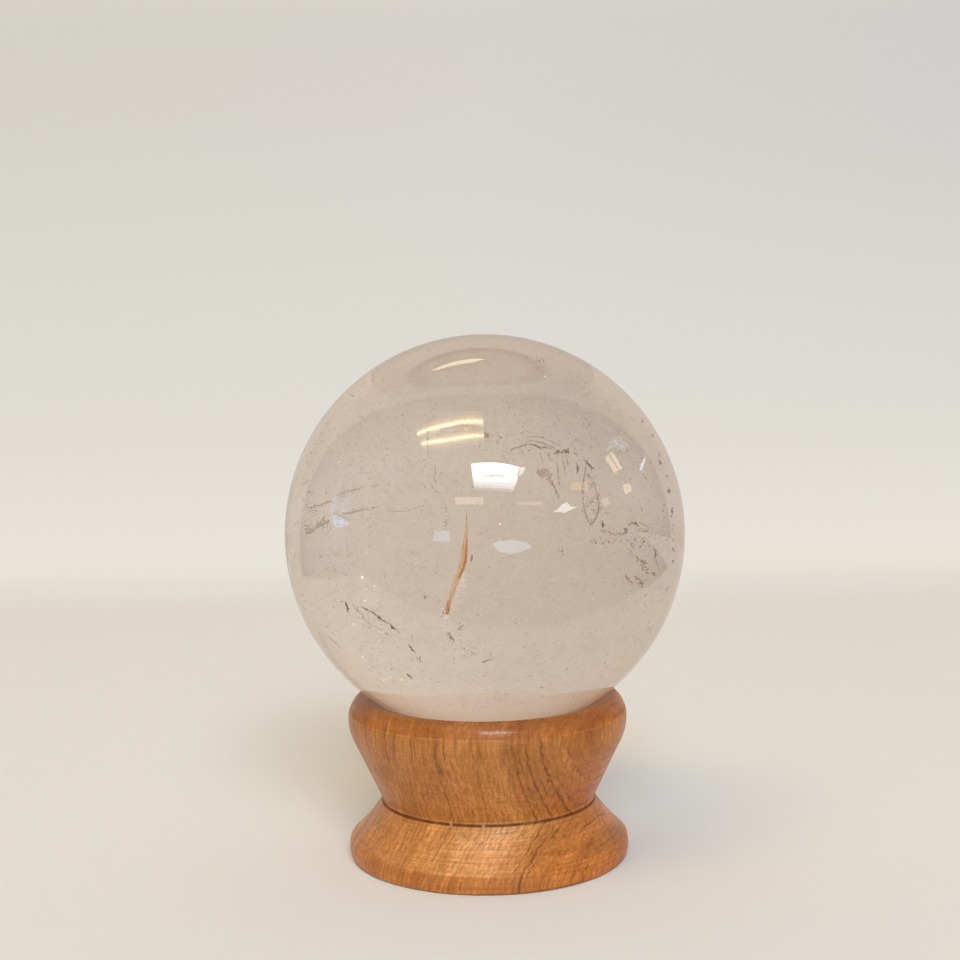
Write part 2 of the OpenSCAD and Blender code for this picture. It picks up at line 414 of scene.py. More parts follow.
# ---------------------------------------------------------------- quartz
def quartz_material():
    """Clear polished crystal: a smoky tan by depth, with the faint waviness that hand polishing leaves."""
    m, nt = new_material("quartz")
    out = nt.nodes.new("ShaderNodeOutputMaterial")
    p = nt.nodes.new("ShaderNodeBsdfPrincipled")
    p.inputs["IOR"].default_value = 1.544
    p.inputs["Transmission Weight"].default_value = 1.0
    mm = vector_node(nt, "MULTIPLY", nt.nodes.new("ShaderNodeTexCoord").outputs["Object"], (1000, 1000, 1000))
    # the soft mottling of fine clouds under the skin
    spots = noise_node(nt, mm, 0.95, 3.0, 0.62)
    clouds = noise_node(nt, mm, 0.22, 2.0, 0.55)
    mottle = math_node(nt, "ADD", math_node(nt, "MULTIPLY", spots, 0.62), math_node(nt, "MULTIPLY", clouds, 0.38))
    tint = ramp(nt, mottle, [(0.30, (0.87, 0.845, 0.82)), (0.42, (0.935, 0.922, 0.91)), (0.52, (0.968, 0.964, 0.96)), (0.68, (1.0, 1.0, 1.0))])
    # a faint wide cloud near the skin, up to the right
    away = vector_node(nt, "LENGTH", vector_node(nt, "SUBTRACT", mm, tuple(1000 * c for c in inside(0.50, 0.60, 0.0))), out="Value")
    tint = mix_color(nt, span(nt, away, 5.0, 17.5, 1.0, 0.0), tint, (0.85, 0.84, 0.85), "MULTIPLY")
    nt.links.new(tint, p.inputs["Base Color"])
    haze = noise_node(nt, mm, 0.16, 3.0, 0.55)
    wipes = noise_node(nt, vector_node(nt, "MULTIPLY", mm, (0.9, 0.25, 0.35)), 1.0, 2.0)
    worn = math_node(nt, "MULTIPLY", haze, wipes)
    nt.links.new(span(nt, worn, 0.12, 0.42, 0.008, 0.032), p.inputs["Roughness"])
    nt.links.new(p.outputs["BSDF"], out.inputs["Surface"])
    v = nt.nodes.new("ShaderNodeVolumeAbsorption")
    v.inputs["Color"].default_value = (0.822, 0.620, 0.486, 1)
    v.inputs["Density"].default_value = 10.0
    nt.links.new(v.outputs["Volume"], out.inputs["Volume"])
    return m


# ---------------------------------------------------------------- what lies inside the crystal
CAMERA = make_camera()
EYE = CAMERA.matrix_world.translation.copy()
RIGHT = CAMERA.matrix_world.to_3x3() @ Vector((1, 0, 0))
UP = CAMERA.matrix_world.to_3x3() @ Vector((0, 1, 0))
DIST = (CENTRE - EYE).length
OUTLINE = R / math.sqrt(1 - (R / DIST) ** 2)


def sight(u, v):
    """The entry point, the way and the length inside the ball of the line of sight that shows at (u, v),
    in radii of the ball's outline from its middle, right and up."""
    w = (CENTRE + (RIGHT * u + UP * v) * OUTLINE - EYE).normalized()
    oc = EYE - CENTRE
    b = oc.dot(w)
    disc = b * b - (oc.dot(oc) - R * R)
    p = EYE + w * (-b - math.sqrt(max(disc, 0.0)))
    n = (p - CENTRE).normalized()
    eta = 1 / 1.544
    ci = -n.dot(w)
    d = (w * eta + n * (eta * ci - math.sqrt(1 - eta * eta * (1 - ci * ci)))).normalized()
    return p, d, -2 * d.dot(p - CENTRE)


def inside(u, v, t):
    p, d, chord = sight(u, v)
    return p + d * (chord * t)


NEEDLE = [
    (0.36, 0.46, [(-0.0925, 0.0876, 0.0025), (-0.0911, 0.0676, 0.0065), (-0.0908, 0.0476, 0.012), (-0.092, 0.0226, 0.0165), (-0.0938, -0.0074, 0.022), (-0.0963, -0.0374, 0.027), (-0.1, -0.0674, 0.0335), (-0.1023, -0.0924, 0.035), (-0.104, -0.1174, 0.0365), (-0.1093, -0.1424, 0.039), (-0.116, -0.1674, 0.0425), (-0.1308, -0.2024, 0.04), (-0.1453, -0.2324, 0.037), (-0.155, -0.2674, 0.0325), (-0.1658, -0.3024, 0.028), (-0.1783, -0.3374, 0.025), (-0.1833, -0.3624, 0.025), (-0.1863, -0.3824, 0.025), (-0.1881, -0.4049, 0.0125)]),
]
NEEDLE_TIP = [
    (0.35, 0.36, [(-0.0943, 0.1176, 0.0015), (-0.0923, 0.0976, 0.0035), (-0.0913, 0.0776, 0.004), (-0.0913, 0.0576, 0.003)]),
    (0.40, 0.41, [(-0.0653, -0.1014, 0.0045), (-0.0643, -0.1174, 0.009), (-0.0673, -0.1324, 0.008), (-0.0688, -0.1444, 0.0035)]),
]
NEEDLE_VEIL = [
    (0.47, 0.50, 170, 0.0075, [(-0.1058, -0.1824), (-0.0813, -0.2074), (-0.0988, -0.2924), (-0.1263, -0.4024), (-0.1638, -0.4274), (-0.1788, -0.4049), (-0.1388, -0.3024)]),
    (0.46, 0.48, 30, 0.0075, [(-0.1763, -0.3324), (-0.2188, -0.3824), (-0.2238, -0.4324), (-0.1938, -0.4274)]),
]
VEIL_DARK = [
    (0.30, 0.33, [(0.1297, 0.4161, 0.005), (0.1487, 0.4266, 0.006), (0.1692, 0.4336, 0.0075), (0.2047, 0.4426, 0.0085), (0.2407, 0.4456, 0.008), (0.2637, 0.4356, 0.011), (0.2787, 0.4266, 0.013), (0.2937, 0.4316, 0.008), (0.3287, 0.4246, 0.006)]),
    (0.29, 0.31, [(0.2237, 0.4626, 0.005), (0.2612, 0.4596, 0.006), (0.2912, 0.4511, 0.0075), (0.3212, 0.4386, 0.0065), (0.3487, 0.4246, 0.005)]),
    (0.33, 0.35, [(0.3487, 0.3986, 0.008), (0.3637, 0.4076, 0.0125), (0.3812, 0.4056, 0.01), (0.3962, 0.4126, 0.009), (0.4082, 0.4096, 0.012), (0.4222, 0.4026, 0.008)]),
    (0.36, 0.38, [(0.4592, 0.3596, 0.005), (0.4622, 0.3376, 0.0095), (0.4632, 0.3126, 0.011), (0.4612, 0.2976, 0.0055)]),
    (0.34, 0.38, [(0.5042, 0.3646, 0.007), (0.5172, 0.3506, 0.013), (0.5282, 0.3356, 0.014), (0.5342, 0.3216, 0.008)]),
    (0.40, 0.42, [(0.5862, 0.0626, 0.008), (0.5877, 0.0476, 0.012), (0.5907, 0.0306, 0.008)]),
    (0.42, 0.44, [(0.6982, 0.0286, 0.008), (0.7072, 0.0176, 0.013), (0.7012, 0.0016, 0.011), (0.6837, -0.0044, 0.007)]),
    (0.42, 0.45, [(0.7172, 0.0406, 0.006), (0.7322, 0.0516, 0.01), (0.7492, 0.0496, 0.011), (0.7672, 0.0366, 0.008)]),
    (0.44, 0.47, [(0.8492, -0.0734, 0.008), (0.8522, -0.0944, 0.0125), (0.8512, -0.1144, 0.009), (0.8492, -0.1324, 0.005)]),
    (0.46, 0.50, [(0.7452, -0.2124, 0.005), (0.7672, -0.2254, 0.008), (0.7822, -0.2444, 0.011), (0.7902, -0.2654, 0.007)]),
    (0.45, 0.47, [(0.7042, -0.2064, 0.006), (0.7192, -0.2294, 0.0085), (0.7402, -0.2494, 0.005)]),
    (0.46, 0.48, [(0.9102, -0.2714, 0.006), (0.9082, -0.2844, 0.011), (0.9052, -0.2944, 0.005)]),
    (0.38, 0.40, [(0.5132, 0.2966, 0.007), (0.5222, 0.2866, 0.011), (0.5212, 0.2756, 0.006)]),
]
VEIL_SOFT = [
    (0.35, 0.38, [(0.4942, 0.3876, 0.0045), (0.5047, 0.3281, 0.0065), (0.4942, 0.2781, 0.008), (0.4907, 0.2281, 0.01), (0.4917, 0.1781, 0.009), (0.4977, 0.1211, 0.009), (0.5082, 0.0781, 0.0085), (0.5262, 0.0466, 0.0075)]),
    (0.36, 0.39, [(0.5392, 0.2826, 0.005), (0.5452, 0.2576, 0.008), (0.5522, 0.2211, 0.009), (0.5657, 0.1781, 0.01), (0.5697, 0.1356, 0.013), (0.5612, 0.0926, 0.014), (0.5407, 0.0576, 0.012), (0.5272, 0.0426, 0.008)]),
    (0.31, 0.33, [(0.2262, 0.4856, 0.004), (0.2762, 0.4816, 0.005), (0.3362, 0.4586, 0.0045), (0.3762, 0.4376, 0.004)]),
    (0.34, 0.35, [(0.3862, 0.3901, 0.005), (0.3912, 0.3526, 0.007), (0.3992, 0.3176, 0.006), (0.4012, 0.2876, 0.004)]),
    (0.34, 0.35, [(0.4087, 0.3901, 0.004), (0.4122, 0.3576, 0.006), (0.4182, 0.3226, 0.005)]),
    (0.33, 0.35, [(0.3587, 0.3576, 0.0045), (0.3652, 0.3176, 0.0075), (0.3692, 0.2676, 0.007), (0.3782, 0.2326, 0.0045)]),
    (0.33, 0.34, [(0.3137, 0.4076, 0.004), (0.3212, 0.3826, 0.0065), (0.3362, 0.3526, 0.0045)]),
    (0.33, 0.34, [(0.2762, 0.4051, 0.004), (0.2832, 0.3801, 0.0055), (0.2912, 0.3526, 0.004)]),
    (0.33, 0.34, [(0.4312, 0.4056, 0.0045), (0.4512, 0.3996, 0.0075), (0.4712, 0.3896, 0.005)]),
    (0.42, 0.44, [(0.5762, 0.0131, 0.007), (0.5962, 0.0116, 0.009), (0.6192, 0.0061, 0.0075), (0.6412, 0.0006, 0.0085), (0.6612, -0.0009, 0.007), (0.6837, -0.0024, 0.0095)]),
    (0.42, 0.44, [(0.7642, 0.0206, 0.006), (0.7837, 0.0136, 0.0095), (0.8042, 0.0096, 0.008), (0.8222, 0.0226, 0.005)]),
    (0.43, 0.45, [(0.7752, 0.0506, 0.0045), (0.7992, 0.0426, 0.007), (0.8162, 0.0296, 0.005)]),
    (0.42, 0.44, [(0.7062, -0.0294, 0.0055), (0.7232, -0.0404, 0.009), (0.7382, -0.0594, 0.0095), (0.7492, -0.0794, 0.0055)]),
    (0.43, 0.46, [(0.7187, -0.0744, 0.0045), (0.7372, -0.0974, 0.008), (0.7582, -0.1214, 0.009), (0.7692, -0.1414, 0.0065)]),
    (0.45, 0.48, [(0.8562, -0.1324, 0.0045), (0.8622, -0.1564, 0.0075), (0.8742, -0.1864, 0.005)]),
    (0.45, 0.48, [(0.7472, -0.2104, 0.0045), (0.7592, -0.2354, 0.007), (0.7802, -0.2694, 0.0045)]),
    (0.30, 0.34, [(0.3372, 0.2601, 0.01), (0.3492, 0.2281, 0.011), (0.3612, 0.2001, 0.0085), (0.3737, 0.1711, 0.005)]),
    (0.33, 0.34, [(0.1062, 0.4126, 0.004), (0.1262, 0.4026, 0.006), (0.1412, 0.4076, 0.004)]),
    (0.30, 0.33, [(0.1712, 0.4976, 0.004), (0.2012, 0.5106, 0.006), (0.2312, 0.5026, 0.004)]),
]
LOOP_FILM = [
    (0.38, 0.41, 46, 0.0085, [(0.5062, 0.2376), (0.5362, 0.2676), (0.5587, 0.1976), (0.5612, 0.1276), (0.5362, 0.0726), (0.5162, 0.0826), (0.5012, 0.1426)]),
]
ROSE_FLAKE = [
    (0.31, 0.33, 105, 0.0105, [(0.2492, 0.3196), (0.2832, 0.3326), (0.3202, 0.3156), (0.3352, 0.2866), (0.3232, 0.2646), (0.2912, 0.2766), (0.2617, 0.2951)]),
    (0.31, 0.33, 40, 0.0060, [(0.2382, 0.3246), (0.2822, 0.3436), (0.3292, 0.3236), (0.3472, 0.2876), (0.3302, 0.2506), (0.2862, 0.2636), (0.2527, 0.2881)]),
    (0.32, 0.34, 22, 0.0075, [(0.3112, 0.2726), (0.3312, 0.2776), (0.3512, 0.2326), (0.3387, 0.2226)]),
]
TAN_GLEAM = [
    (0.33, 0.34, 60, 0.0065, [(-0.1298, 0.5406), (-0.1038, 0.5416), (-0.0658, 0.5246), (-0.0488, 0.5106), (-0.0598, 0.5056), (-0.0938, 0.5146), (-0.1188, 0.5266)]),
]
RUST = [
    (0.33, 0.34, 26, 0.0070, [(-0.0098, 0.5006), (0.0122, 0.5046), (0.0322, 0.5036), (0.0222, 0.4886), (0.0072, 0.4776), (-0.0048, 0.4866)]),
    (0.44, 0.46, 42, 0.0070, [(0.7612, -0.1144), (0.7812, -0.1254), (0.8062, -0.1394), (0.8242, -0.1494), (0.8252, -0.1764), (0.8092, -0.2044), (0.7932, -0.1954), (0.7782, -0.1594)]),
    (0.33, 0.34, 26, 0.0075, [(0.3992, 0.4176), (0.4162, 0.4196), (0.4182, 0.4046), (0.4012, 0.4026)]),
    (0.47, 0.49, 22, 0.0070, [(0.8332, -0.1954), (0.8492, -0.1974), (0.8492, -0.2144), (0.8342, -0.2144)]),
]
RUST_LINES = [
    (0.44, 0.46, [(0.7582, -0.1144, 0.006), (0.7772, -0.1344, 0.011), (0.7962, -0.1624, 0.015), (0.8092, -0.1924, 0.012), (0.8202, -0.2124, 0.006)]),
]
RUST_SPOT = [
    (0.34, 0.35, [(-0.0098, 0.5076, 0.007), (0.0032, 0.4976, 0.015), (0.0182, 0.4936, 0.014), (0.0322, 0.4976, 0.006)]),
]
TAN_SPOT = [
    (0.33, 0.34, [(-0.1218, 0.5346, 0.006), (-0.1038, 0.5286, 0.012), (-0.0818, 0.5226, 0.013), (-0.0548, 0.5166, 0.007)]),
]
DOTS = [
    (0.5332, -0.0394, 0.0100, 0.42),
    (0.5547, -0.0469, 0.0115, 0.42),
    (0.5862, -0.0504, 0.0110, 0.42),
    (0.6192, -0.0424, 0.0140, 0.42),
    (0.6442, -0.0359, 0.0090, 0.42),
    (0.5442, -0.0269, 0.0075, 0.42),
    (0.5787, -0.0234, 0.0070, 0.42),
    (0.6572, -0.0254, 0.0075, 0.42),
    (0.7942, -0.0394, 0.0140, 0.44),
    (0.3862, -0.0894, 0.0145, 0.44),
    (0.8042, -0.0204, 0.0080, 0.44),
    (0.7772, -0.0644, 0.0100, 0.44),
    (0.7502, -0.0254, 0.0090, 0.44),
    (0.8202, -0.0604, 0.0080, 0.44),
    (0.6792, -0.0404, 0.0080, 0.44),
    (0.0792, 0.4786, 0.0130, 0.31),
    (0.0622, 0.4546, 0.0080, 0.31),
    (0.0942, 0.3866, 0.0075, 0.31),
    (0.1437, 0.3696, 0.0070, 0.31),
    (0.0342, 0.4886, 0.0065, 0.31),
    (0.1837, 0.4066, 0.0080, 0.31),
    (0.2182, 0.4146, 0.0070, 0.31),
    (0.5342, 0.4326, 0.0090, 0.36),
    (0.5182, 0.5456, 0.0095, 0.36),
    (0.4542, 0.4696, 0.0070, 0.36),
    (0.4932, 0.4416, 0.0070, 0.36),
    (0.6082, 0.1006, 0.0070, 0.36),
    (0.6372, 0.0706, 0.0065, 0.36),
    (0.2742, 0.8636, 0.0130, 0.20),
    (0.2602, 0.8776, 0.0100, 0.20),
    (0.2942, 0.8596, 0.0090, 0.20),
    (0.3342, 0.9096, 0.0075, 0.20),
    (0.3822, 0.9056, 0.0085, 0.20),
    (0.2072, 0.8806, 0.0070, 0.20),
    (-0.2988, -0.3174, 0.0120, 0.38),
    (-0.3638, -0.6344, 0.0080, 0.38),
    (-0.1023, -0.5754, 0.0100, 0.38),
    (-0.0593, -0.5969, 0.0100, 0.38),
    (-0.3273, -0.6254, 0.0110, 0.38),
    (-0.7168, -0.3394, 0.0110, 0.38),
    (-0.1858, -0.4004, 0.0090, 0.38),
    (-0.2068, -0.3934, 0.0110, 0.38),
    (-0.2158, -0.4144, 0.0090, 0.38),
]
RIM_DOTS = [
    (0.8782, 0.3516, 0.0150, 0.16),
    (0.8762, 0.3616, 0.0090, 0.16),
    (0.9202, 0.2131, 0.0140, 0.14),
    (0.9192, 0.2246, 0.0090, 0.14),
    (0.9357, 0.1111, 0.0130, 0.14),
    (0.9367, 0.1246, 0.0080, 0.14),
    (0.9427, -0.0789, 0.0140, 0.14),
    (0.9407, -0.1359, 0.0130, 0.14),
    (0.9227, 0.3656, 0.0075, 0.12),
    (0.9337, 0.0876, 0.0075, 0.13),
    (0.9442, -0.0324, 0.0070, 0.13),
    (0.8392, 0.4876, 0.0080, 0.12),
    (0.7872, 0.5596, 0.0075, 0.12),
    (0.9092, 0.2856, 0.0080, 0.13),
    (0.9417, 0.0426, 0.0065, 0.12),
]
FLARE_LINES = [
    (0.30, 0.31, [(-0.7468, 0.1926, 0.008), (-0.7498, 0.1676, 0.014), (-0.7568, 0.1376, 0.0145), (-0.7648, 0.1076, 0.014), (-0.7718, 0.0796, 0.012)]),
    (0.30, 0.32, [(-0.7678, 0.0786, 0.009), (-0.7588, 0.0576, 0.012), (-0.7538, 0.0306, 0.008)]),
    (0.30, 0.32, [(-0.7488, 0.0806, 0.008), (-0.7158, 0.0656, 0.009), (-0.6838, 0.0506, 0.006)]),
    (0.30, 0.32, [(-0.7508, 0.0326, 0.007), (-0.7378, 0.0526, 0.008), (-0.7168, 0.0396, 0.007), (-0.7018, 0.0536, 0.007), (-0.6878, 0.0426, 0.005)]),
]
FLARE_FILM = [
    (0.32, 0.33, 330, 0.0080, [(-0.7428, 0.1826), (-0.6923, 0.1896), (-0.6578, 0.1631), (-0.6638, 0.1236), (-0.7138, 0.1056), (-0.7568, 0.1106)]),
    (0.30, 0.33, 210, 0.0065, [(-0.7688, 0.0826), (-0.7438, 0.0896), (-0.6778, 0.0546), (-0.6843, 0.0396), (-0.7618, 0.0256)]),
]
LEFT_STREAKS = [
    (0.29, 0.30, [(-0.7568, 0.1046, 0.003), (-0.7338, 0.0966, 0.0055), (-0.7038, 0.0816, 0.006), (-0.6718, 0.0626, 0.003)]),
    (0.32, 0.36, [(-0.5138, 0.1386, 0.0045), (-0.5488, 0.1306, 0.009), (-0.5918, 0.1221, 0.012), (-0.6288, 0.1156, 0.014), (-0.6638, 0.1056, 0.012), (-0.7088, 0.1006, 0.0065)]),
    (0.36, 0.40, [(-0.4938, 0.1146, 0.003), (-0.4438, 0.1096, 0.005), (-0.3988, 0.1116, 0.004), (-0.3538, 0.1246, 0.004), (-0.3038, 0.1396, 0.003)]),
    (0.30, 0.33, [(-0.7358, 0.1906, 0.005), (-0.7188, 0.1996, 0.009), (-0.6988, 0.2086, 0.013), (-0.6738, 0.2126, 0.008), (-0.6538, 0.2186, 0.012), (-0.6258, 0.2256, 0.012), (-0.6038, 0.2306, 0.007)]),
    (0.33, 0.34, [(-0.5688, 0.2306, 0.005), (-0.5458, 0.2396, 0.009), (-0.5288, 0.2446, 0.005)]),
    (0.28, 0.30, [(-0.7688, 0.1626, 0.008), (-0.7938, 0.1526, 0.012), (-0.8238, 0.1406, 0.011), (-0.8488, 0.1366, 0.013), (-0.8763, 0.1266, 0.006)]),
    (0.27, 0.29, [(-0.8808, 0.1096, 0.004), (-0.8588, 0.1156, 0.006), (-0.8288, 0.1096, 0.004)]),
]
LEFT_RUST = [
    (0.28, 0.30, [(-0.7738, 0.0646, 0.01), (-0.7938, 0.0566, 0.021), (-0.8158, 0.0456, 0.024), (-0.8388, 0.0326, 0.017), (-0.8588, 0.0186, 0.02), (-0.8808, 0.0046, 0.023), (-0.8938, -0.0024, 0.01)]),
    (0.28, 0.29, [(-0.7968, 0.0696, 0.006), (-0.8188, 0.0576, 0.009), (-0.8438, 0.0446, 0.006)]),
]
FRACTURE = [
    (0.26, 0.28, [(-0.6168, -0.3644, 0.005), (-0.6008, -0.3744, 0.009), (-0.5808, -0.3854, 0.007), (-0.5618, -0.3934, 0.008), (-0.5478, -0.4034, 0.014), (-0.5288, -0.4174, 0.015), (-0.5058, -0.4369, 0.013), (-0.4958, -0.4424, 0.006)]),
    (0.27, 0.28, [(-0.4718, -0.4554, 0.008), (-0.4593, -0.4684, 0.016), (-0.4468, -0.4784, 0.009), (-0.4258, -0.4944, 0.0045)]),
    (0.28, 0.29, [(-0.3798, -0.5554, 0.006), (-0.3698, -0.5704, 0.012), (-0.3608, -0.5824, 0.008), (-0.3443, -0.5984, 0.004)]),
    (0.28, 0.29, [(-0.3878, -0.7014, 0.008), (-0.3748, -0.7124, 0.012), (-0.3628, -0.7264, 0.006)]),
    (0.24, 0.26, [(-0.6938, -0.3424, 0.008), (-0.6888, -0.3624, 0.012), (-0.6848, -0.3824, 0.011), (-0.6828, -0.3964, 0.006)]),
]
FRACTURE_SOFT = [
    (0.27, 0.28, [(-0.4988, -0.4404, 0.008), (-0.4843, -0.4454, 0.011), (-0.4718, -0.4544, 0.007)]),
    (0.20, 0.22, [(-0.7953, -0.5039, 0.004), (-0.7758, -0.5194, 0.0065), (-0.7558, -0.5369, 0.008), (-0.7358, -0.5584, 0.0065), (-0.7158, -0.5764, 0.004)]),
    (0.28, 0.30, [(-0.6558, -0.3524, 0.005), (-0.6408, -0.3734, 0.009), (-0.6208, -0.3994, 0.007), (-0.5908, -0.4374, 0.006), (-0.5608, -0.4684, 0.004)]),
    (0.29, 0.30, [(-0.5438, -0.4624, 0.004), (-0.5088, -0.4894, 0.0055), (-0.4693, -0.5124, 0.0045)]),
    (0.28, 0.29, [(-0.3348, -0.6134, 0.006), (-0.3258, -0.6284, 0.01), (-0.3218, -0.6424, 0.005)]),
    (0.40, 0.41, [(-0.1818, -0.4984, 0.008), (-0.1708, -0.5144, 0.017), (-0.1578, -0.5354, 0.014), (-0.1528, -0.5454, 0.007)]),
    (0.40, 0.41, [(-0.1318, -0.4784, 0.006), (-0.1198, -0.4674, 0.013), (-0.1058, -0.4604, 0.007)]),
    (0.42, 0.43, [(-0.0148, -0.6434, 0.005), (0.0042, -0.6364, 0.01), (0.0262, -0.6284, 0.008), (0.0502, -0.6264, 0.0045)]),
    (0.37, 0.38, [(-0.1928, 0.0736, 0.006), (-0.1918, 0.0526, 0.01), (-0.1928, 0.0306, 0.006)]),
    (0.38, 0.39, [(-0.3018, -0.3104, 0.006), (-0.2978, -0.3204, 0.013), (-0.2918, -0.3274, 0.006)]),
    (0.25, 0.27, [(-0.2848, 0.5276, 0.004), (-0.2843, 0.4976, 0.007), (-0.2858, 0.4626, 0.0075), (-0.2828, 0.4226, 0.005), (-0.2868, 0.3876, 0.0035)]),
    (0.27, 0.28, [(-0.2508, 0.3376, 0.0035), (-0.2468, 0.3126, 0.006), (-0.2528, 0.2776, 0.005), (-0.2398, 0.2476, 0.004)]),
    (0.27, 0.28, [(-0.2658, 0.2476, 0.004), (-0.2558, 0.2226, 0.007), (-0.2328, 0.2016, 0.006), (-0.2158, 0.2056, 0.004)]),
    (0.28, 0.29, [(-0.1988, 0.1426, 0.0035), (-0.1928, 0.1226, 0.0055), (-0.1948, 0.1026, 0.0035)]),
    (0.40, 0.41, [(-0.1568, -0.6214, 0.0045), (-0.1548, -0.6344, 0.008), (-0.1568, -0.6484, 0.0045)]),
    (0.20, 0.22, [(-0.8338, -0.5324, 0.003), (-0.8158, -0.5644, 0.0045), (-0.7888, -0.6024, 0.003)]),
    (0.25, 0.26, [(-0.2873, 0.4806, 0.005), (-0.2858, 0.4716, 0.011), (-0.2848, 0.4626, 0.005)]),
]
LOWER_VEIL = [
    (0.39, 0.42, 150, 0.0085, [(-0.2688, -0.4224), (-0.2038, -0.3924), (-0.1638, -0.4424), (-0.0738, -0.4424), (-0.0538, -0.5324), (-0.1138, -0.6074), (-0.2238, -0.6124), (-0.2838, -0.5324)]),
    (0.24, 0.30, 50, 0.0080, [(-0.6638, -0.2074), (-0.5338, -0.2324), (-0.5038, -0.3524), (-0.5638, -0.3624), (-0.6438, -0.3524)]),
    (0.27, 0.31, 70, 0.0075, [(-0.5938, -0.4124), (-0.4638, -0.5024), (-0.4238, -0.5824), (-0.4438, -0.7524), (-0.5638, -0.7124), (-0.6638, -0.5324)]),
]
SPARKLES = [
    (-0.6108, -0.2184, 0.0230, 0.22),
    (-0.5523, -0.2644, 0.0120, 0.24),
    (-0.5518, -0.2794, 0.0090, 0.24),
    (-0.5918, -0.2764, 0.0100, 0.24),
    (-0.5973, -0.3369, 0.0200, 0.24),
    (-0.5408, -0.3374, 0.0075, 0.25),
    (-0.5253, -0.5304, 0.0190, 0.26),
    (-0.6558, -0.4544, 0.0130, 0.24),
    (-0.5558, -0.4764, 0.0090, 0.26),
    (-0.5058, -0.4924, 0.0110, 0.27),
    (-0.4918, -0.5924, 0.0110, 0.27),
    (-0.6093, -0.6184, 0.0150, 0.24),
    (-0.5073, -0.7294, 0.0170, 0.26),
    (-0.4668, -0.7184, 0.0100, 0.27),
    (-0.4158, -0.7304, 0.0170, 0.27),
    (0.0742, 0.0496, 0.0150, 0.30),
    (-0.5208, 0.3296, 0.0080, 0.30),
    (-0.0918, 0.0576, 0.0050, 0.34),
    (0.3722, -0.5454, 0.0080, 0.40),
    (0.3012, 0.7846, 0.0100, 0.15),
    (-0.7268, 0.3566, 0.0075, 0.28),
]


def resampled(points, step):
    """The same path with points a step apart, joined by smooth curves."""
    res = []
    n = len(points)
    for i in range(n - 1):
        p0, p1, p2, p3 = points[max(i - 1, 0)], points[i], points[i + 1], points[min(i + 2, n - 1)]
        gap = math.hypot(p2[0] - p1[0], p2[1] - p1[1])
        k = max(1, round(gap / step))
        for j in range(k):
            s = j / k
            res.append(tuple(
                0.5 * (2 * b + (c - a) * s + (2 * a - 5 * b + 4 * c - d) * s * s + (3 * b - a - 3 * c + d) * s ** 3)
                for a, b, c, d in zip(p0, p1, p2, p3)))
    res.append(points[-1])
    return res


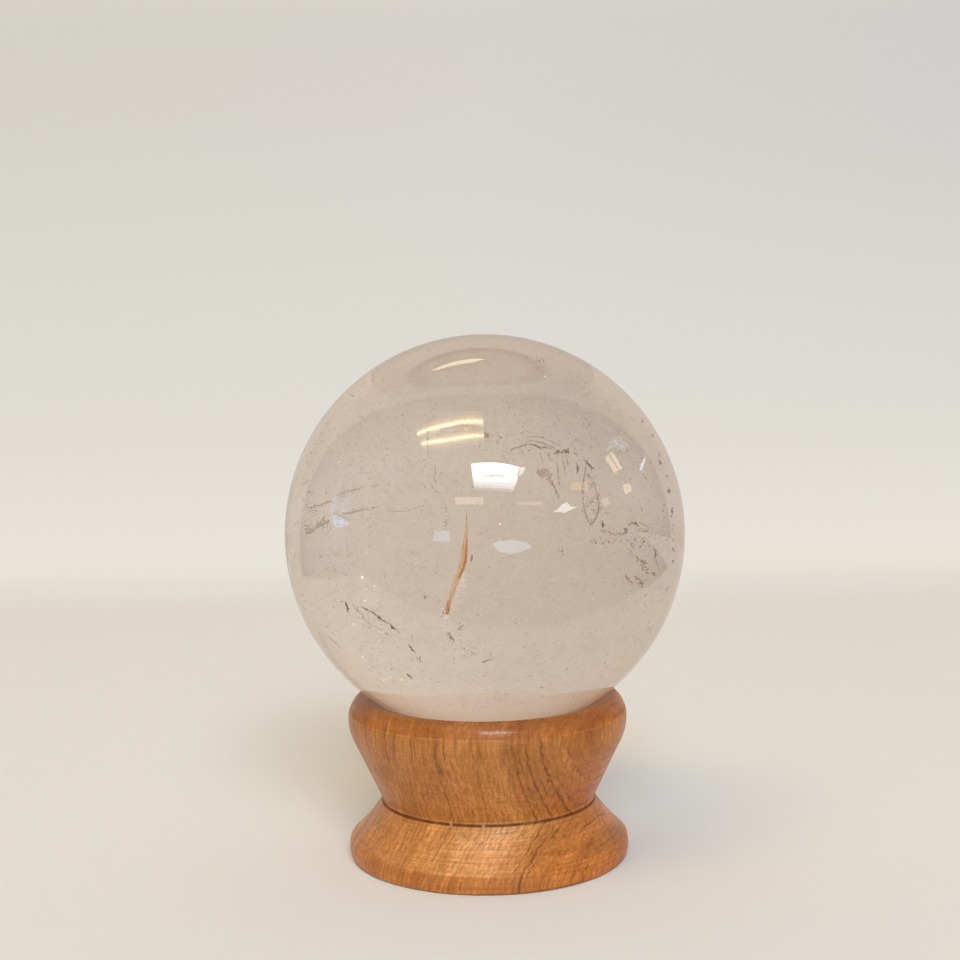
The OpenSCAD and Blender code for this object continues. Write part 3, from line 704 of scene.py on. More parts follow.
class Grains:
    """Gathers many small solid shapes into one mesh."""

    def __init__(self, name, seed):
        self.name, self.rng = name, random.Random(seed)
        self.verts, self.faces, self.owner = [], [], []
        self.count = 0

    def add(self, verts, faces):
        k = len(self.verts)
        self.verts += [tuple(v) for v in verts]
        self.faces += [tuple(k + i for i in f) for f in faces]
        self.owner += [self.count] * len(faces)
        self.count += 1

    def flake(self, centre, axes, jitter=0.35):
        """An irregular eight-sided grain with the given half axes."""
        rnd = self.rng
        v = []
        for ax in axes:
            for sgn in (1, -1):
                v.append(centre + ax * (sgn * (1 + jitter * (rnd.random() * 2 - 1)))
                         + axes[0] * (0.25 * (rnd.random() - 0.5)) + axes[1] * (0.25 * (rnd.random() - 0.5)))
        self.add(v, [(0, 2, 4), (2, 1, 4), (1, 3, 4), (3, 0, 4), (2, 0, 5), (1, 2, 5), (3, 1, 5), (0, 3, 5)])

    def speck(self, u, v, t, size, long=1.0, angle=None, thick=0.22):
        """A grain that shows size across at (u, v), drawn out along an angle."""
        rnd = self.rng
        a = rnd.random() * math.pi if angle is None else angle
        c = inside(u, v, t)
        h = 0.5 * size
        p1 = inside(u + math.cos(a) * h * long, v + math.sin(a) * h * long, t)
        p2 = inside(u - math.sin(a) * h, v + math.cos(a) * h, t)
        _, d, _ = sight(u, v)
        lean = d + (RIGHT * rnd.gauss(0, 0.3) + UP * rnd.gauss(-0.25, 0.3))
        self.flake(c, (p1 - c, p2 - c, lean.normalized() * (h * OUTLINE * thick)))

    def mote(self, u, v, t, size):
        """A four-sided fine grain."""
        rnd = self.rng
        c = inside(u, v, t)
        h = (inside(u + 0.5 * size, v, t) - c).length
        turn = rnd.random() * 6.2832
        vs = []
        for k in range(3):
            a = turn + k * 2.0944 + rnd.uniform(-0.5, 0.5)
            s = h * rnd.uniform(0.7, 1.4)
            vs.append(c + RIGHT * (math.cos(a) * s) + UP * (math.sin(a) * s))
        _, d, _ = sight(u, v)
        vs.append(c + d * (h * 0.5))
        self.add(vs, [(0, 1, 2), (1, 0, 3), (2, 1, 3), (0, 2, 3)])

    def cloudlet(self, u, v, t, spread, count, size):
        """A soft spot made of a few fine grains."""
        rnd = self.rng
        for _ in range(count):
            self.mote(u + rnd.gauss(0, spread), v + rnd.gauss(0, spread), t + rnd.gauss(0, 0.004), size * rnd.uniform(0.6, 1.3))

    def trail(self, points, t0, t1, step=0.006, spread=0.5, keep=0.72, size=1.0):
        """A broken line of small drawn-out grains along a path of (u, v, width)."""
        rnd = self.rng
        pts = resampled(points, step)
        n = len(pts)
        for i, (u, v, w) in enumerate(pts):
            a, b = pts[max(i - 1, 0)], pts[min(i + 1, n - 1)]
            ang = math.atan2(b[1] - a[1], b[0] - a[0])
            t = t0 + (t1 - t0) * i / max(n - 1, 1)
            for _ in range(2):
                if rnd.random() > keep:
                    continue
                off = rnd.gauss(0, spread * w * 0.5)
                s = w * size * rnd.uniform(0.3, 0.75)
                self.speck(u - math.sin(ang) * off + rnd.gauss(0, 0.001), v + math.cos(ang) * off, t + rnd.gauss(0, 0.004), s,
                           rnd.uniform(1.2, 2.6), ang + rnd.gauss(0, 0.35))

    def stroke(self, points, t0, t1, thick=0.00012, wobble=0.12, ragged=0.35, step=0.0075):
        """A thin closed sliver along a path of (u, v, width)."""
        rnd = self.rng
        pts = resampled(points, step)
        n = len(pts)
        rings = []
        phase = rnd.random() * 100
        for i, (u, v, w) in enumerate(pts):
            a, b = pts[max(i - 1, 0)], pts[min(i + 1, n - 1)]
            du, dv = b[0] - a[0], b[1] - a[1]
            ln = math.hypot(du, dv) or 1.0
            nu, nv = -dv / ln, du / ln
            q = noise.noise(Vector((phase + i * 0.55, 3.1, 0.0))) * wobble * w
            w = w * (1 + ragged * noise.noise(Vector((phase + i * 0.9, 9.7, 2.0))) * 1.6)
            if i in (0, n - 1):
                w *= 0.25
            u, v = u + nu * q, v + nv * q
            t = t0 + (t1 - t0) * i / max(n - 1, 1)
            left, right = inside(u - nu * w / 2, v - nv * w / 2, t), inside(u + nu * w / 2, v + nv * w / 2, t)
            mid = inside(u, v, t)
            _, d, _ = sight(u, v)
            rings.append((left, mid - d * thick, right, mid + d * thick))
        verts = [p for ring in rings for p in ring]
        faces = [(3, 2, 1, 0)]
        for i in range(n - 1):
            a = 4 * i
            for j in range(4):
                k = (j + 1) % 4
                faces.append((a + j, a + k, a + 4 + k, a + 4 + j))
        a = 4 * (n - 1)
        faces.append((a, a + 1, a + 2, a + 3))
        self.add(verts, faces)

    def film(self, outline, t0, t1, count, size, angle=None, long=1.4, patchy=0.6):
        """A patch of many fine grains inside an outline in (u, v), thinning out towards its edge."""
        rnd = self.rng
        us, vs = [p[0] for p in outline], [p[1] for p in outline]
        cu, cv = sum(us) / len(us), sum(vs) / len(vs)
        made = tried = 0
        while made < count and tried < 60 * count:
            tried += 1
            u, v = rnd.uniform(min(us), max(us)), rnd.uniform(min(vs), max(vs))
            hit, near = False, 1e9
            for (a, b), (c, d) in zip(outline, outline[1:] + outline[:1]):
                if (b > v) != (d > v) and u < (c - a) * (v - b) / (d - b) + a:
                    hit = not hit
                near = min(near, math.hypot((a + c) / 2 - u, (b + d) / 2 - v))
            if not hit:
                continue
            wide = math.hypot(max(us) - min(us), max(vs) - min(vs)) / 2
            if rnd.random() < patchy * math.hypot(u - cu, v - cv) / wide:
                continue
            if patchy and noise.noise(Vector((u * 28, v * 28, 5.5))) < rnd.uniform(-0.6, 0.2) * patchy:
                continue
            s = size * rnd.uniform(0.5, 1.4)
            turn = None if angle is None else angle + rnd.gauss(0, 0.25)
            self.speck(u, v, rnd.uniform(t0, t1), s, long * rnd.uniform(0.8, 1.4), turn)
            made += 1

    def object(self, material):
        mesh = bpy.data.meshes.new(self.name)
        mesh.from_pydata(self.verts, [], self.faces)
        mesh.validate()
        bm = bmesh.new()
        bm.from_mesh(mesh)
        bmesh.ops.recalc_face_normals(bm, faces=bm.faces)
        bm.to_mesh(mesh)
        bm.free()
        o = link_object(self.name, mesh)
        mesh.materials.append(material)
        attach(o, "root")
        return o


def mineral_material(name, stops, grain=900.0, glow=0.0, roughness=(0.45, 0.8), along=None):
    """A cloudy mineral: its colour wanders through the stops."""
    m, nt = new_material(name)
    out = nt.nodes.new("ShaderNodeOutputMaterial")
    p = nt.nodes.new("ShaderNodeBsdfPrincipled")
    co = nt.nodes.new("ShaderNodeTexCoord").outputs["Object"]
    fac = noise_node(nt, co, grain, 3.0, 0.6)
    fac = span(nt, fac, 0.3, 0.7, kind="LINEAR")
    if along:
        # drift through the stops between two heights, with the noise on top
        _, _, z = split(nt, co)
        drift = span(nt, z, along[0], along[1], kind="LINEAR")
        fac = math_node(nt, "MULTIPLY_ADD", fac, 0.22, math_node(nt, "MULTIPLY_ADD", drift, 0.9, -0.08), clamp=True)
    col = ramp(nt, fac, stops)
    nt.links.new(col, p.inputs["Base Color"])
    rough = noise_node(nt, co, grain * 2.3, 2.0)
    nt.links.new(span(nt, rough, 0.3, 0.7, roughness[0], roughness[1]), p.inputs["Roughness"])
    p.inputs["Specular IOR Level"].default_value = 0.15
    # glow is painted light: the grains give off their own colour so they look lit inside the glass
    if glow:
        nt.links.new(col, p.inputs["Emission Color"])
        p.inputs["Emission Strength"].default_value = glow
    bump = nt.nodes.new("ShaderNodeBump")
    bump.inputs["Strength"].default_value = 0.3
    bump.inputs["Distance"].default_value = 0.00005
    nt.links.new(rough, bump.inputs["Height"])
    nt.links.new(bump.outputs["Normal"], p.inputs["Normal"])
    nt.links.new(p.outputs["BSDF"], out.inputs["Surface"])
    return m


def grey(v, warm=0.0):
    return (v * (1 + warm), v, v * (1 - 1.3 * warm))


def make_inclusions():
    rng = random.Random(29)

    def strokes(g, table, **kw):
        for t0, t1, pts in table:
            g.stroke(pts, t0, t1, **kw)

    def films(g, table, **kw):
        for t0, t1, count, size, outline in table:
            g.film(outline, t0, t1, count, size, **kw)

    # the golden needle: a golden and an orange strand side by side, a fine tip, and white haze beside its foot
    def strand(lo, hi, back):
        pts = []
        for u, v, w in NEEDLE[0][2]:
            w *= 0.86
            pts.append((u + w * (lo + hi) / 2, v, w * (hi - lo)))
        g.stroke(pts, NEEDLE[0][0] + back, NEEDLE[0][1] + back, thick=0.0004, ragged=0.22, wobble=0.16, step=0.010)

    tip, foot = inside(-0.09, 0.06, 0.36).z, inside(-0.189, -0.4, 0.46).z
    g = Grains("golden_needle", 1)
    strand(-0.5, 0.1, 0.0)
    g.object(mineral_material("golden_needle", [
        (0.00, (0.65, 0.36, 0.20)), (0.10, (0.82, 0.54, 0.31)), (0.24, (0.84, 0.75, 0.58)), (0.38, (0.84, 0.71, 0.46)),
        (0.52, (0.83, 0.64, 0.38)), (0.64, (0.79, 0.57, 0.35)), (0.76, (0.80, 0.66, 0.50)), (0.88, (0.75, 0.64, 0.51)),
        (1.00, (0.68, 0.58, 0.48))], grain=700.0, glow=0.25, along=(foot, tip)))
    g = Grains("orange_strand", 14)
    strand(-0.05, 0.5, 0.006)
    g.object(mineral_material("orange_strand", [
        (0.00, (0.59, 0.30, 0.16)), (0.12, (0.79, 0.48, 0.26)), (0.24, (0.84, 0.72, 0.54)), (0.36, (0.80, 0.54, 0.30)),
        (0.50, (0.68, 0.34, 0.20)), (0.62, (0.72, 0.38, 0.21)), (0.76, (0.77, 0.53, 0.35)), (0.86, (0.75, 0.60, 0.46)),
        (1.00, (0.68, 0.57, 0.46))], grain=700.0, glow=0.22, along=(foot, tip)))
    g = Grains("needle_tip", 2)
    strokes(g, NEEDLE_TIP)
    g.object(mineral_material("needle_tip", [(0.0, (0.50, 0.27, 0.20)), (0.5, (0.66, 0.42, 0.30)), (1.0, (0.80, 0.66, 0.54))], grain=1500.0, glow=0.16))
    g = Grains("needle_haze", 3)
    films(g, NEEDLE_VEIL, angle=math.radians(72), long=2.4)
    g.object(mineral_material("needle_haze", [(0.0, (0.72, 0.69, 0.65)), (1.0, (0.84, 0.83, 0.81))], glow=0.32))

    # the dark veil to the upper right, with a rust-brown patch at its lower end, and the fracture to the lower left
    g = Grains("dark_veil", 4)
    for t0, t1, pts in VEIL_DARK:
        g.trail(pts, t0, t1, step=0.0045, spread=0.9, keep=0.8, size=0.85)
        g.stroke([(u, v, w * 0.30) for u, v, w in pts], t0 + 0.004, t1 + 0.004, thick=0.00008, ragged=1.3, wobble=0.9)
    g.object(mineral_material("dark_veil", [(0.0, (0.24, 0.165, 0.115)), (0.45, (0.375, 0.275, 0.205)), (1.0, (0.56, 0.445, 0.35))], grain=1700.0, glow=0.12))
    g = Grains("fracture", 15)
    for t0, t1, pts in FRACTURE:
        g.trail(pts, t0, t1, spread=0.4)
        g.stroke([(u, v, w * 0.42) for u, v, w in pts], t0 + 0.004, t1 + 0.004, ragged=0.9, wobble=0.4)
    g.object(mineral_material("fracture", [(0.0, (0.17, 0.088, 0.04)), (0.45, (0.33, 0.20, 0.095)), (1.0, (0.64, 0.48, 0.26))], grain=1500.0, glow=0.1))
    g = Grains("soft_veil", 5)
    for t0, t1, pts in VEIL_SOFT + FRACTURE_SOFT:
        g.trail([(u, v, w * 1.5) for u, v, w in pts], t0, t1, step=0.005, spread=0.9, keep=0.6, size=0.6)
        g.stroke([(u, v, w * 0.42) for u, v, w in pts], t0 + 0.004, t1 + 0.004, thick=0.00006, ragged=1.3, wobble=0.9)
    g.object(mineral_material("soft_veil", [(0.0, (0.37, 0.295, 0.235)), (0.5, (0.52, 0.425, 0.355)), (1.0, (0.65, 0.555, 0.475))], grain=1500.0, glow=0.18))
    g = Grains("rust_patch", 6)
    films(g, RUST)
    for t0, t1, pts in RUST_LINES + RUST_SPOT:
        g.trail([(u, v, w * 0.9) for u, v, w in pts], t0, t1, spread=1.0, keep=0.75, size=0.6)
    g.object(mineral_material("rust_patch", [(0.0, (0.48, 0.325, 0.245)), (0.5, (0.60, 0.44, 0.35)), (1.0, (0.71, 0.575, 0.475))], grain=1900.0, glow=0.12))
    g = Grains("tan_streaks", 13)
    for t0, t1, pts in LEFT_RUST + LEFT_STREAKS + TAN_SPOT:
        g.trail([(u, v, w * 1.7) for u, v, w in pts], t0, t1, step=0.0038, spread=0.8, keep=0.8, size=0.36)
        g.stroke([(u, v, w * 0.75) for u, v, w in pts], t0 + 0.004, t1 + 0.004, thick=0.00008, ragged=0.6, wobble=0.25)
    g.object(mineral_material("tan_streaks", [(0.0, (0.60, 0.525, 0.45)), (0.5, (0.665, 0.585, 0.51)), (1.0, (0.73, 0.66, 0.585))], grain=1200.0, glow=0.24))
    g = Grains("tan_gleam", 17)
    films(g, TAN_GLEAM)
    g.object(mineral_material("tan_gleam", [(0.0, (0.82, 0.69, 0.50)), (1.0, (0.91, 0.80, 0.60))], grain=1200.0, glow=0.27))
    g = Grains("rose_flake", 7)
    films(g, ROSE_FLAKE, patchy=0.9, long=1.0)
    g.object(mineral_material("rose_flake", [(0.0, (0.575, 0.465, 0.415)), (1.0, (0.665, 0.555, 0.50))], grain=1200.0, glow=0.25))
    g = Grains("loose_grains", 8)
    for u, v, s, t in DOTS:
        g.speck(u, v, t, s * 0.85, 1.25)
        for _ in range(3):
            a = rng.random() * 6.3
            g.speck(u + math.cos(a) * s * 1.1, v + math.sin(a) * s * 1.1, t, s * 0.4, 1.3)
    for u, v, s, t in RIM_DOTS:
        g.speck(u, v, t, s * 1.12, 1.9, math.radians(100))
    g.object(mineral_material("loose_grains", [(0.0, (0.18, 0.125, 0.095)), (0.5, (0.34, 0.25, 0.19)), (1.0, (0.54, 0.42, 0.33))], grain=1700.0, glow=0.1))

    # the silvery flare to the left, a painted reflection off an inner crack made of glowing grains: a bright upright
    # edge, a bright wing below and a fainter one above
    g = Grains("silver_flare", 9)
    strokes(g, FLARE_LINES, ragged=0.45)
    films(g, FLARE_FILM[1:], angle=math.radians(60), long=2.0, patchy=0.0)
    g.object(mineral_material("silver_flare", [(0.0, (0.62, 0.64, 0.68)), (1.0, (0.78, 0.83, 0.90))], grain=1500.0, glow=0.42, roughness=(0.2, 0.5)))
    g = Grains("silver_wing", 16)
    films(g, FLARE_FILM[:1], angle=math.radians(20), long=1.8, patchy=0.0)
    g.object(mineral_material("silver_wing", [(0.0, (0.67, 0.64, 0.625)), (1.0, (0.76, 0.74, 0.735))], grain=700.0, glow=0.34))

    # pale haze in the lower half, and soft clouding all through, both of very fine grains in loose spots
    g = Grains("pale_haze", 10)
    for t0, t1, count, size, outline in LOWER_VEIL:
        g.film(outline, t0, t1, count, size * 0.8, long=1.3, patchy=0.9)
    made = 0
    while made < 1000:
        u, v = rng.uniform(-0.93, 0.93), rng.uniform(-0.9, 0.4)
        if u * u + v * v > 0.80 or rng.random() > 0.2 + 0.8 * min(1.0, max(0.0, (0.1 - v) / 0.6)):
            continue
        if noise.noise(Vector((u * 11, v * 11, 8.1))) + 0.5 * noise.noise(Vector((u * 27, v * 27, 4.4))) < rng.uniform(-0.5, 0.3):
            continue
        t = rng.uniform(0.15, 0.6)
        g.cloudlet(u, v, t, rng.uniform(0.004, 0.011), rng.randint(3, 6), rng.uniform(0.003, 0.006) * (1.1 - 0.4 * t))
        made += 1
    g.object(mineral_material("pale_haze", [(0.0, (0.69, 0.655, 0.61)), (1.0, (0.79, 0.76, 0.72))], grain=600.0, glow=0.34))
    g = Grains("fine_clouding", 11)
    films(g, LOOP_FILM, long=1.4)
    made = 0
    while made < 3600:
        u, v = rng.uniform(-0.97, 0.97), rng.uniform(-0.97, 0.97)
        r2 = u * u + v * v
        if r2 > 0.93 or rng.random() < 0.7 * max(0.0, r2 - 0.55) / 0.38:
            continue
        lump = noise.noise(Vector((u * 8, v * 8, 1.7))) + 0.6 * noise.noise(Vector((u * 22, v * 22, 3.3)))
        thick = 0.45 * math.exp(-((u - 0.48) ** 2 + (v - 0.42) ** 2) / 0.10) + 0.45 * math.exp(-((u - 0.76) ** 2 + (v + 0.05) ** 2) / 0.05)
        thick += 0.5 * math.exp(-((u - 0.50) ** 2 + (v - 0.72) ** 2) / 0.05)
        if lump + thick < rng.uniform(-0.35, 0.50):
            continue
        t = rng.uniform(0.12, 0.6)
        g.cloudlet(u, v, t, rng.uniform(0.003, 0.012), rng.randint(2, 7), rng.uniform(0.003, 0.0058) * (1.1 - 0.4 * t))
        made += 1
    for k in range(70):
        a, r = rng.random() * 6.2832, 0.93 * math.sqrt(rng.random())
        t = rng.uniform(0.12, 0.5)
        g.speck(r * math.cos(a), r * math.sin(a), t, rng.uniform(0.006, 0.010), rng.uniform(1.0, 1.8))
    g.object(mineral_material("fine_clouding", [(0.0, (0.46, 0.405, 0.355)), (0.5, (0.565, 0.515, 0.46)), (1.0, (0.66, 0.615, 0.56))], grain=500.0, glow=0.34))

    # painted glints: small flakes that glow, standing in for light caught by small fracture faces
    g = Grains("glint_faces", 12)
    for u, v, s, t in SPARKLES:
        g.speck(u, v, t, s * 0.8, 1.5)
    g.object(mineral_material("glint_faces", [(0.0, (0.85, 0.78, 0.60)), (1.0, (0.95, 0.92, 0.84))], grain=900.0, glow=0.6, roughness=(0.1, 0.3)))


# ---------------------------------------------------------------- wood
def wood_material():
    """Turned hardwood under a thin satin varnish: upright growth sheets, broken growth lines, fine pores, lathe lines."""
    m, nt = new_material("turned_wood")
    out = nt.nodes.new("ShaderNodeOutputMaterial")
    p = nt.nodes.new("ShaderNodeBsdfPrincipled")
    mm = vector_node(nt, "MULTIPLY", nt.nodes.new("ShaderNodeTexCoord").outputs["Object"], (1000, 1000, 1000))
    x, y, z = split(nt, mm)
    r = vector_node(nt, "LENGTH", vector_node(nt, "MULTIPLY", mm, (1, 1, 0)), out="Value")

    def mul(a, b):
        return math_node(nt, "MULTIPLY", a, b)

    def tone(col, fac, lo, hi, dark, light, strength=1.0):
        shade = ramp(nt, fac, [(lo, dark), ((lo + hi) / 2, (1.0, 1.0, 1.0)), (hi, light)])
        return mix_color(nt, strength, col, shade, "MULTIPLY")

    # the growth sheets stand upright, and wander a little
    slow = noise_node(nt, vector_node(nt, "MULTIPLY", mm, (0.06, 0.06, 0.05)), 1.0, 1.0, out="Color")
    slow = vector_node(nt, "MULTIPLY", vector_node(nt, "SUBTRACT", slow, (0.5, 0.5, 0.5)), (1.7, 1.7, 0.0))
    quick = noise_node(nt, vector_node(nt, "MULTIPLY", mm, (0.9, 0.9, 0.42)), 1.0, 2.0, out="Color")
    quick = vector_node(nt, "MULTIPLY", vector_node(nt, "SUBTRACT", quick, (0.5, 0.5, 0.5)), (0.8, 0.8, 0.0))
    q = vector_node(nt, "ADD", mm, vector_node(nt, "ADD", slow, quick))
    # below the waist they lean
    lean = math_node(nt, "MULTIPLY", math_node(nt, "MAXIMUM", math_node(nt, "SUBTRACT", 11.0, z), 0.0), 0.32)
    g = math_node(nt, "ADD", vector_node(nt, "DOT_PRODUCT", q, (1.0, -0.5, 0.0), out="Value"), lean)
    h = vector_node(nt, "DOT_PRODUCT", q, (0.5, 1.0, 0.0), out="Value")

    def sheet(kg, kh, kz, detail=2.0, rough=0.5, shift=0.0):
        v = join(nt, math_node(nt, "MULTIPLY_ADD", g, kg, shift), mul(h, kh), mul(z, kz))
        return noise_node(nt, v, 1.0, detail, rough)

    def line_at(value, centre, width):
        return span(nt, math_node(nt, "ABSOLUTE", math_node(nt, "SUBTRACT", value, centre)), 0.0, width, 1.0, 0.0)

    broad = sheet(0.20, 0.03, 0.035)
    band = sheet(0.42, 0.05, 0.05, shift=7.3)
    blotch = noise_node(nt, vector_node(nt, "MULTIPLY", mm, (0.13, 0.13, 0.22)), 1.0, 2.0, 0.6)

    # thin growth lines about a millimetre apart, broken along their length
    phase = math_node(nt, "MULTIPLY_ADD", noise_node(nt, vector_node(nt, "MULTIPLY", mm, (0.09, 0.09, 0.03)), 1.0, 2.0), 2.6, mul(g, 0.90))
    year = math_node(nt, "FRACT", phase)
    growth = mul(line_at(year, 0.5, 0.20), span(nt, sheet(0.8, 0.4, 0.14, 3.0, 0.6, shift=11.0), 0.36, 0.60))
    vein = sheet(1.7, 0.12, 0.06, 2.0, 0.5, shift=3.1)
    vein = mul(line_at(vein, 0.5, 0.055), span(nt, sheet(1.2, 0.5, 0.22, 2.0, shift=17.0), 0.40, 0.6))
    fibre = sheet(1.75, 1.05, 0.22, 2.0, 0.6, shift=5.0)
    dash = mul(span(nt, sheet(2.0, 0.7, 0.28, 1.0, shift=29.0), 0.57, 0.69), span(nt, sheet(0.5, 0.3, 0.12, 1.0, shift=37.0), 0.42, 0.6))
    pore = span(nt, sheet(4.4, 3.4, 0.40, 1.0, shift=23.0), 0.62, 0.70)
    grit = noise_node(nt, mm, 1.7, 2.0, 0.5)
    # lathe lines run round the piece
    turned = math_node(nt, "MULTIPLY_ADD", r, -0.8, z)
    lathe = noise_node(nt, join(nt, mul(h, 0.045), mul(g, 0.045), mul(turned, 2.3)), 1.0, 2.0, 0.62)
    groove = noise_node(nt, join(nt, mul(h, 0.025), mul(g, 0.025), mul(turned, 1.7)), 1.0, 1.0)
    groove = mul(line_at(groove, 0.5, 0.03), span(nt, noise_node(nt, vector_node(nt, "MULTIPLY", mm, (0.2, 0.2, 0.8)), 1.0, 1.0), 0.45, 0.6))

    # dark lines that run down through cup and base, some only for a short way
    streaks = None
    ragged = math_node(nt, "MULTIPLY_ADD", sheet(0.9, 1.1, 0.75, 2.0, 0.6, shift=41.0), 0.9, math_node(nt, "SUBTRACT", g, 0.45))
    for at, wide, shift, lo, hi, z0, z1 in (
            (3.0, 0.20, 1.0, 0.30, 0.46, 10, 40), (2.6, 0.26, 1.2, 0.44, 0.6, -1, 11), (3.4, 0.30, 1.5, 0.30, 0.50, 21.5, 27.5), (4.9, 0.24, 2.0, 0.34, 0.52, 20.5, 27), (-2.5, 0.26, 3.0, 0.36, 0.54, 20, 28),
            (-9.1, 0.26, 4.0, 0.38, 0.54, 20, 28), (-14.9, 0.26, 5.0, 0.38, 0.54, 19, 28), (16.6, 0.22, 6.0, 0.50, 0.68, 19.5, 26.5), (18.0, 0.24, 7.0, 0.34, 0.50, 11.3, 26.5),
            (18.9, 0.18, 8.0, 0.42, 0.58, 12, 24), (20.0, 0.26, 9.0, 0.34, 0.50, 11.3, 27), (21.0, 0.20, 10.0, 0.40, 0.58, 12, 24), (22.1, 0.30, 11.0, 0.34, 0.48, 7.5, 28),
            (21.2, 0.30, 20.0, 0.30, 0.50, -1, 9.5), (22.0, 0.24, 21.0, 0.42, 0.56, -1, 7.5), (19.6, 0.22, 22.0, 0.42, 0.56, 3.0, 11),
            (23.0, 0.20, 12.0, 0.40, 0.56, 12, 20), (25.6, 0.20, 13.0, 0.44, 0.60, 8, 26), (30.5, 0.24, 14.0, 0.44, 0.60, -1, 30), (10.5, 0.18, 15.0, 0.46, 0.62, -1, 26),
            (-6.0, 0.2, 16.0, 0.42, 0.6, -1, 11), (7.4, 0.2, 18.0, 0.44, 0.62, -1, 22)):
        brk = span(nt, noise_node(nt, join(nt, shift, mul(g, 1.6), mul(z, 0.42)), 1.0, 2.0), lo, hi)
        s = mul(line_at(ragged, at, wide), brk)
        if z0 > 0 or z1 < 30:
            s = mul(s, mul(span(nt, z, z0 - 0.8, z0 + 0.4), span(nt, z, z1 - 0.6, z1 + 0.6, 1.0, 0.0)))
        streaks = s if streaks is None else math_node(nt, "MAXIMUM", streaks, s)
    # the wood is a little darker round the close-set lines
    zone = math_node(nt, "MAXIMUM", line_at(g, 20.3, 4.2), mul(mul(line_at(g, 3.9, 2.2), 2.0), span(nt, z, 14.0, 24.0, 0.35, 1.0)))

    # cup and base show different cuts of the block: the base is paler and more orange
    is_base = span(nt, z, 10.75, 11.0, 1.0, 0.0)
    cup = ramp(nt, broad, [(0.30, (0.445, 0.156, 0.034)), (0.5, (0.535, 0.196, 0.044)), (0.70, (0.595, 0.232, 0.055))])
    # the base's pale stretch across its front is paler wood with a painted highlight on it
    base = ramp(nt, math_node(nt, "MULTIPLY_ADD", g, 1 / 60, 20 / 60, clamp=True), [
        (0.10, (0.57, 0.215, 0.050)), (0.30, (0.63, 0.250, 0.060)), (0.39, (0.79, 0.345, 0.104)), (0.56, (0.79, 0.345, 0.104)), (0.61, (0.74, 0.315, 0.092)),
        (0.68, (0.60, 0.220, 0.048)), (0.76, (0.56, 0.188, 0.035)), (0.90, (0.52, 0.165, 0.028))])
    base = tone(base, blotch, 0.30, 0.70, (0.85, 0.80, 0.74), (1.10, 1.12, 1.14))
    base = mix_color(nt, span(nt, z, 3.2, 3.8, 0.8, 0.0), base, (0.565, 0.180, 0.031))
    col = mix_color(nt, is_base, cup, base)
    col = tone(col, band, 0.32, 0.68, (0.85, 0.81, 0.77), (1.09, 1.12, 1.15))
    col = tone(col, fibre, 0.28, 0.72, (0.76, 0.71, 0.64), (1.16, 1.19, 1.23))
    col = tone(col, grit, 0.28, 0.72, (0.91, 0.90, 0.88), (1.08, 1.08, 1.10))
    col = tone(col, lathe, 0.30, 0.70, (0.83, 0.80, 0.76), (1.12, 1.15, 1.20), math_node(nt, "MULTIPLY_ADD", is_base, 0.5, 0.5))
    # the wood is redder towards one side, and paler at the foot of the cup
    col = mix_color(nt, span(nt, x, 8.0, 21.0), col, (1.12, 0.99, 0.80), "MULTIPLY")
    col = mix_color(nt, mul(span(nt, z, 11.0, 19.0, 1.0, 0.0), math_node(nt, "SUBTRACT", 1.0, is_base)), col, (1.07, 1.09, 1.09), "MULTIPLY")
    col = mix_color(nt, mul(mul(span(nt, x, 8.0, 12.0), span(nt, z, 16.5, 20.0, 1.0, 0.0)), math_node(nt, "SUBTRACT", 1.0, is_base)), col, (1.14, 1.07, 1.00), "MULTIPLY")
    # a soft dark streak in the base left of the middle with paler wood beside it, and a painted highlight on the edge
    # over the band
    beside = math_node(nt, "MULTIPLY_ADD", z, 0.43, math_node(nt, "SUBTRACT", g, 4.3))
    slope = mul(is_base, span(nt, z, 3.4, 4.2))
    col = mix_color(nt, mul(line_at(beside, 2.9, 2.8), slope), col, (0.78, 0.69, 0.54), "MULTIPLY")
    col = mix_color(nt, mul(line_at(beside, -2.0, 3.6), slope), col, (1.10, 1.08, 1.03), "MULTIPLY")
    edge = mul(mul(span(nt, z, 2.6, 3.4), span(nt, z, 4.4, 5.6, 1.0, 0.0)), mul(span(nt, x, 0.0, 4.0), span(nt, x, 13.0, 17.0, 1.0, 0.0)))
    col = mix_color(nt, edge, col, (1.09, 1.10, 1.12), "MULTIPLY")
    col = mix_color(nt, mul(slope, mul(span(nt, x, 15.0, 19.0), span(nt, z, 5.0, 7.5, 1.0, 0.0))), col, (0.84, 0.91, 0.94), "MULTIPLY")
    # the rim's belly is paler right of the middle: a painted highlight
    col = mix_color(nt, mul(mul(span(nt, x, 2.0, 5.0), span(nt, x, 13.0, 18.0, 1.0, 0.0)), mul(span(nt, z, 26.4, 27.2), span(nt, z, 28.8, 29.6, 1.0, 0.0))), col, (1.15, 1.13, 1.12), "MULTIPLY")
    col = mix_color(nt, mul(zone, 0.13), col, (0.30, 0.085, 0.016))
    col = mix_color(nt, mul(growth, 0.46), col, (0.26, 0.075, 0.015))
    col = mix_color(nt, mul(vein, 0.36), col, (0.26, 0.075, 0.015))
    col = mix_color(nt, mul(dash, 0.34), col, (0.25, 0.070, 0.014))
    col = mix_color(nt, mul(groove, 0.22), col, (0.22, 0.062, 0.014))
    col = mix_color(nt, mul(pore, 0.22), col, (0.18, 0.050, 0.012))
    col = mix_color(nt, mul(streaks, 0.74), col, (0.16, 0.042, 0.008))

    # painted contact shadow: the bottom edge is darker towards the floor
    col = mix_color(nt, span(nt, z, 0.15, 0.6, 0.45, 0.0), col, (0.20, 0.085, 0.04))

    # the rim's upper part is darker and redder
    col = mix_color(nt, span(nt, z, 27.2, 28.8, 0.0, 1.0), col, (0.95, 0.82, 0.76), "MULTIPLY")
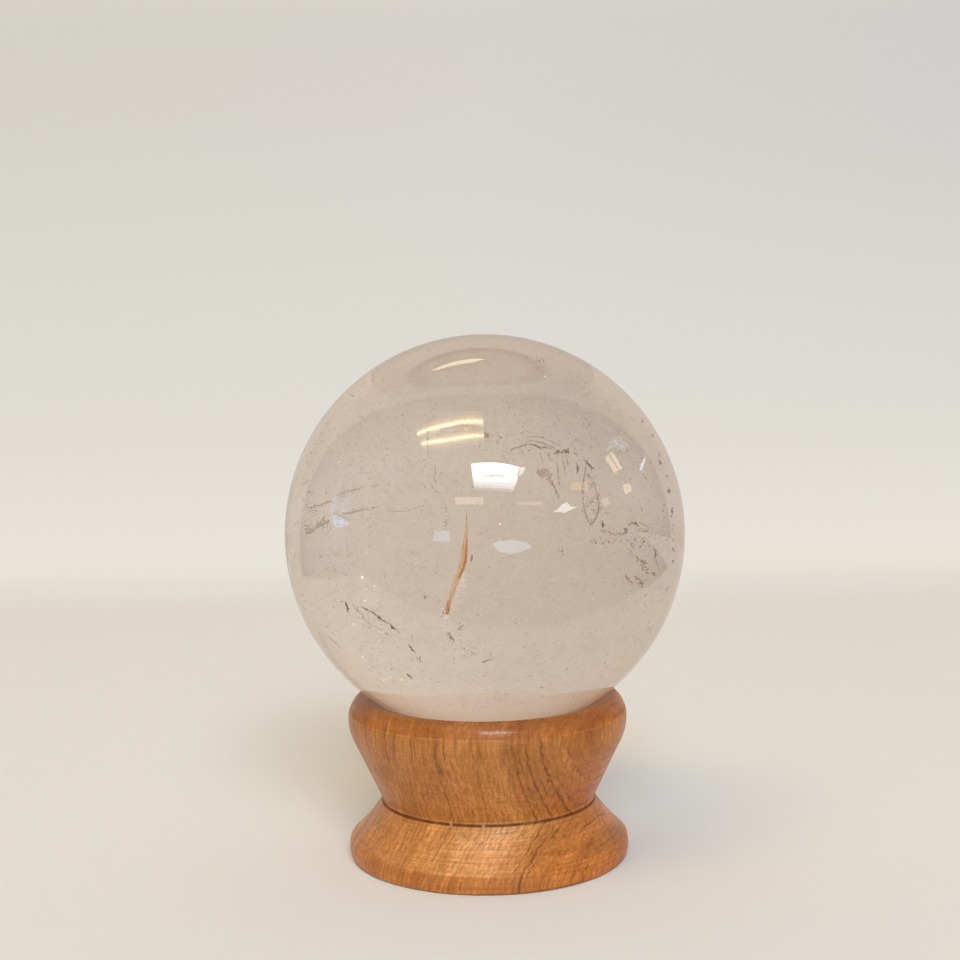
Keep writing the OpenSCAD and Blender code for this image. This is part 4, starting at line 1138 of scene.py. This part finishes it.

    # turned edges near the rim: a pale line at the widest part, a painted highlight along that edge, and finer dark
    # ones above it
    for at, wide, shade, strength in ((27.75, 0.20, (0.66, 0.30, 0.125), 0.42), (28.15, 0.12, (0.30, 0.085, 0.02), 0.32), (28.75, 0.14, (0.28, 0.08, 0.018), 0.30),
                                      (29.6, 0.16, (0.28, 0.08, 0.018), 0.34), (30.2, 0.12, (0.28, 0.08, 0.018), 0.3)):
        wander = math_node(nt, "MULTIPLY_ADD", noise_node(nt, vector_node(nt, "MULTIPLY", mm, (0.08, 0.08, 0.0)), 1.0, 1.0), 0.5, math_node(nt, "SUBTRACT", z, 0.25))
        parts = span(nt, noise_node(nt, vector_node(nt, "MULTIPLY", mm, (0.35, 0.35, 0.1)), 1.0, 2.0), 0.36, 0.6)
        col = mix_color(nt, mul(mul(line_at(wander, at, wide), parts), strength), col, shade)

    # dark line in the waist, broken at the front in two places
    waist = span(nt, math_node(nt, "ABSOLUTE", math_node(nt, "SUBTRACT", z, 10.76)), 0.12, 0.38, 1.0, 0.0)
    uneven = span(nt, noise_node(nt, vector_node(nt, "MULTIPLY", mm, (0.5, 0.5, 0.0)), 1.0, 2.0), 0.3, 0.6, 0.72, 0.96)
    front = math_node(nt, "LESS_THAN", y, 0.0)
    tall = span(nt, math_node(nt, "ABSOLUTE", math_node(nt, "SUBTRACT", z, 10.9)), 0.4, 0.9, 1.0, 0.0)
    gaps = None
    for at in (-6.95, -1.1):
        leaning = math_node(nt, "MULTIPLY_ADD", z, 0.25, math_node(nt, "ADD", x, -0.25 * 10.9 - at))
        gap = mul(line_at(leaning, 0.0, 0.40), front)
        gaps = gap if gaps is None else math_node(nt, "MAXIMUM", gaps, gap)
    col = mix_color(nt, mul(mul(waist, uneven), math_node(nt, "MULTIPLY_ADD", gaps, -0.9, 1.0)), col, (0.145, 0.032, 0.003))
    col = mix_color(nt, mul(mul(gaps, tall), 0.55), col, (0.56, 0.29, 0.135))
    nt.links.new(col, p.inputs["Base Color"])

    rough = math_node(nt, "MULTIPLY_ADD", fibre, 0.12, math_node(nt, "MULTIPLY_ADD", grit, 0.10, 0.40))
    rough = math_node(nt, "MULTIPLY_ADD", pore, 0.12, rough)
    nt.links.new(rough, p.inputs["Roughness"])
    p.inputs["Specular IOR Level"].default_value = 0.14
    p.inputs["Coat Roughness"].default_value = 0.07
    relief = math_node(nt, "MULTIPLY_ADD", lathe, 2.0, math_node(nt, "MULTIPLY_ADD", fibre, 0.5, mul(pore, -0.5)))
    relief = math_node(nt, "MULTIPLY_ADD", streaks, -0.6, relief)
    # the rim is smoother, the base has coarser turning marks
    rim = span(nt, z, 26.4, 28.0)
    marks = noise_node(nt, join(nt, mul(h, 0.10), mul(g, 0.10), mul(turned, 1.55)), 1.0, 2.0, 0.6)
    relief = math_node(nt, "MULTIPLY_ADD", mul(marks, is_base), 6.0, mul(relief, math_node(nt, "MULTIPLY_ADD", rim, -0.6, 1.0)))
    # the varnish is worn below the rim's shoulder
    worn = mul(span(nt, z, 27.7, 28.1), span(nt, z, 28.6, 29.1, 1.0, 0.0))
    nt.links.new(mul(math_node(nt, "MULTIPLY_ADD", worn, -0.30, 0.40), math_node(nt, "MULTIPLY_ADD", waist, -0.9, 1.0)), p.inputs["Coat Weight"])
    bump = nt.nodes.new("ShaderNodeBump")
    bump.inputs["Strength"].default_value = 0.5
    bump.inputs["Distance"].default_value = 0.00007
    nt.links.new(relief, bump.inputs["Height"])
    nt.links.new(bump.outputs["Normal"], p.inputs["Normal"])
    nt.links.new(bump.outputs["Normal"], p.inputs["Coat Normal"])
    nt.links.new(p.outputs["BSDF"], out.inputs["Surface"])
    return m


make_stage()
make_world()
make_lights()

for node, mat in ((SPHERE, quartz_material()), (STAND, wood_material())):
    node.data.materials.clear()
    node.data.materials.append(mat)
make_inclusions()
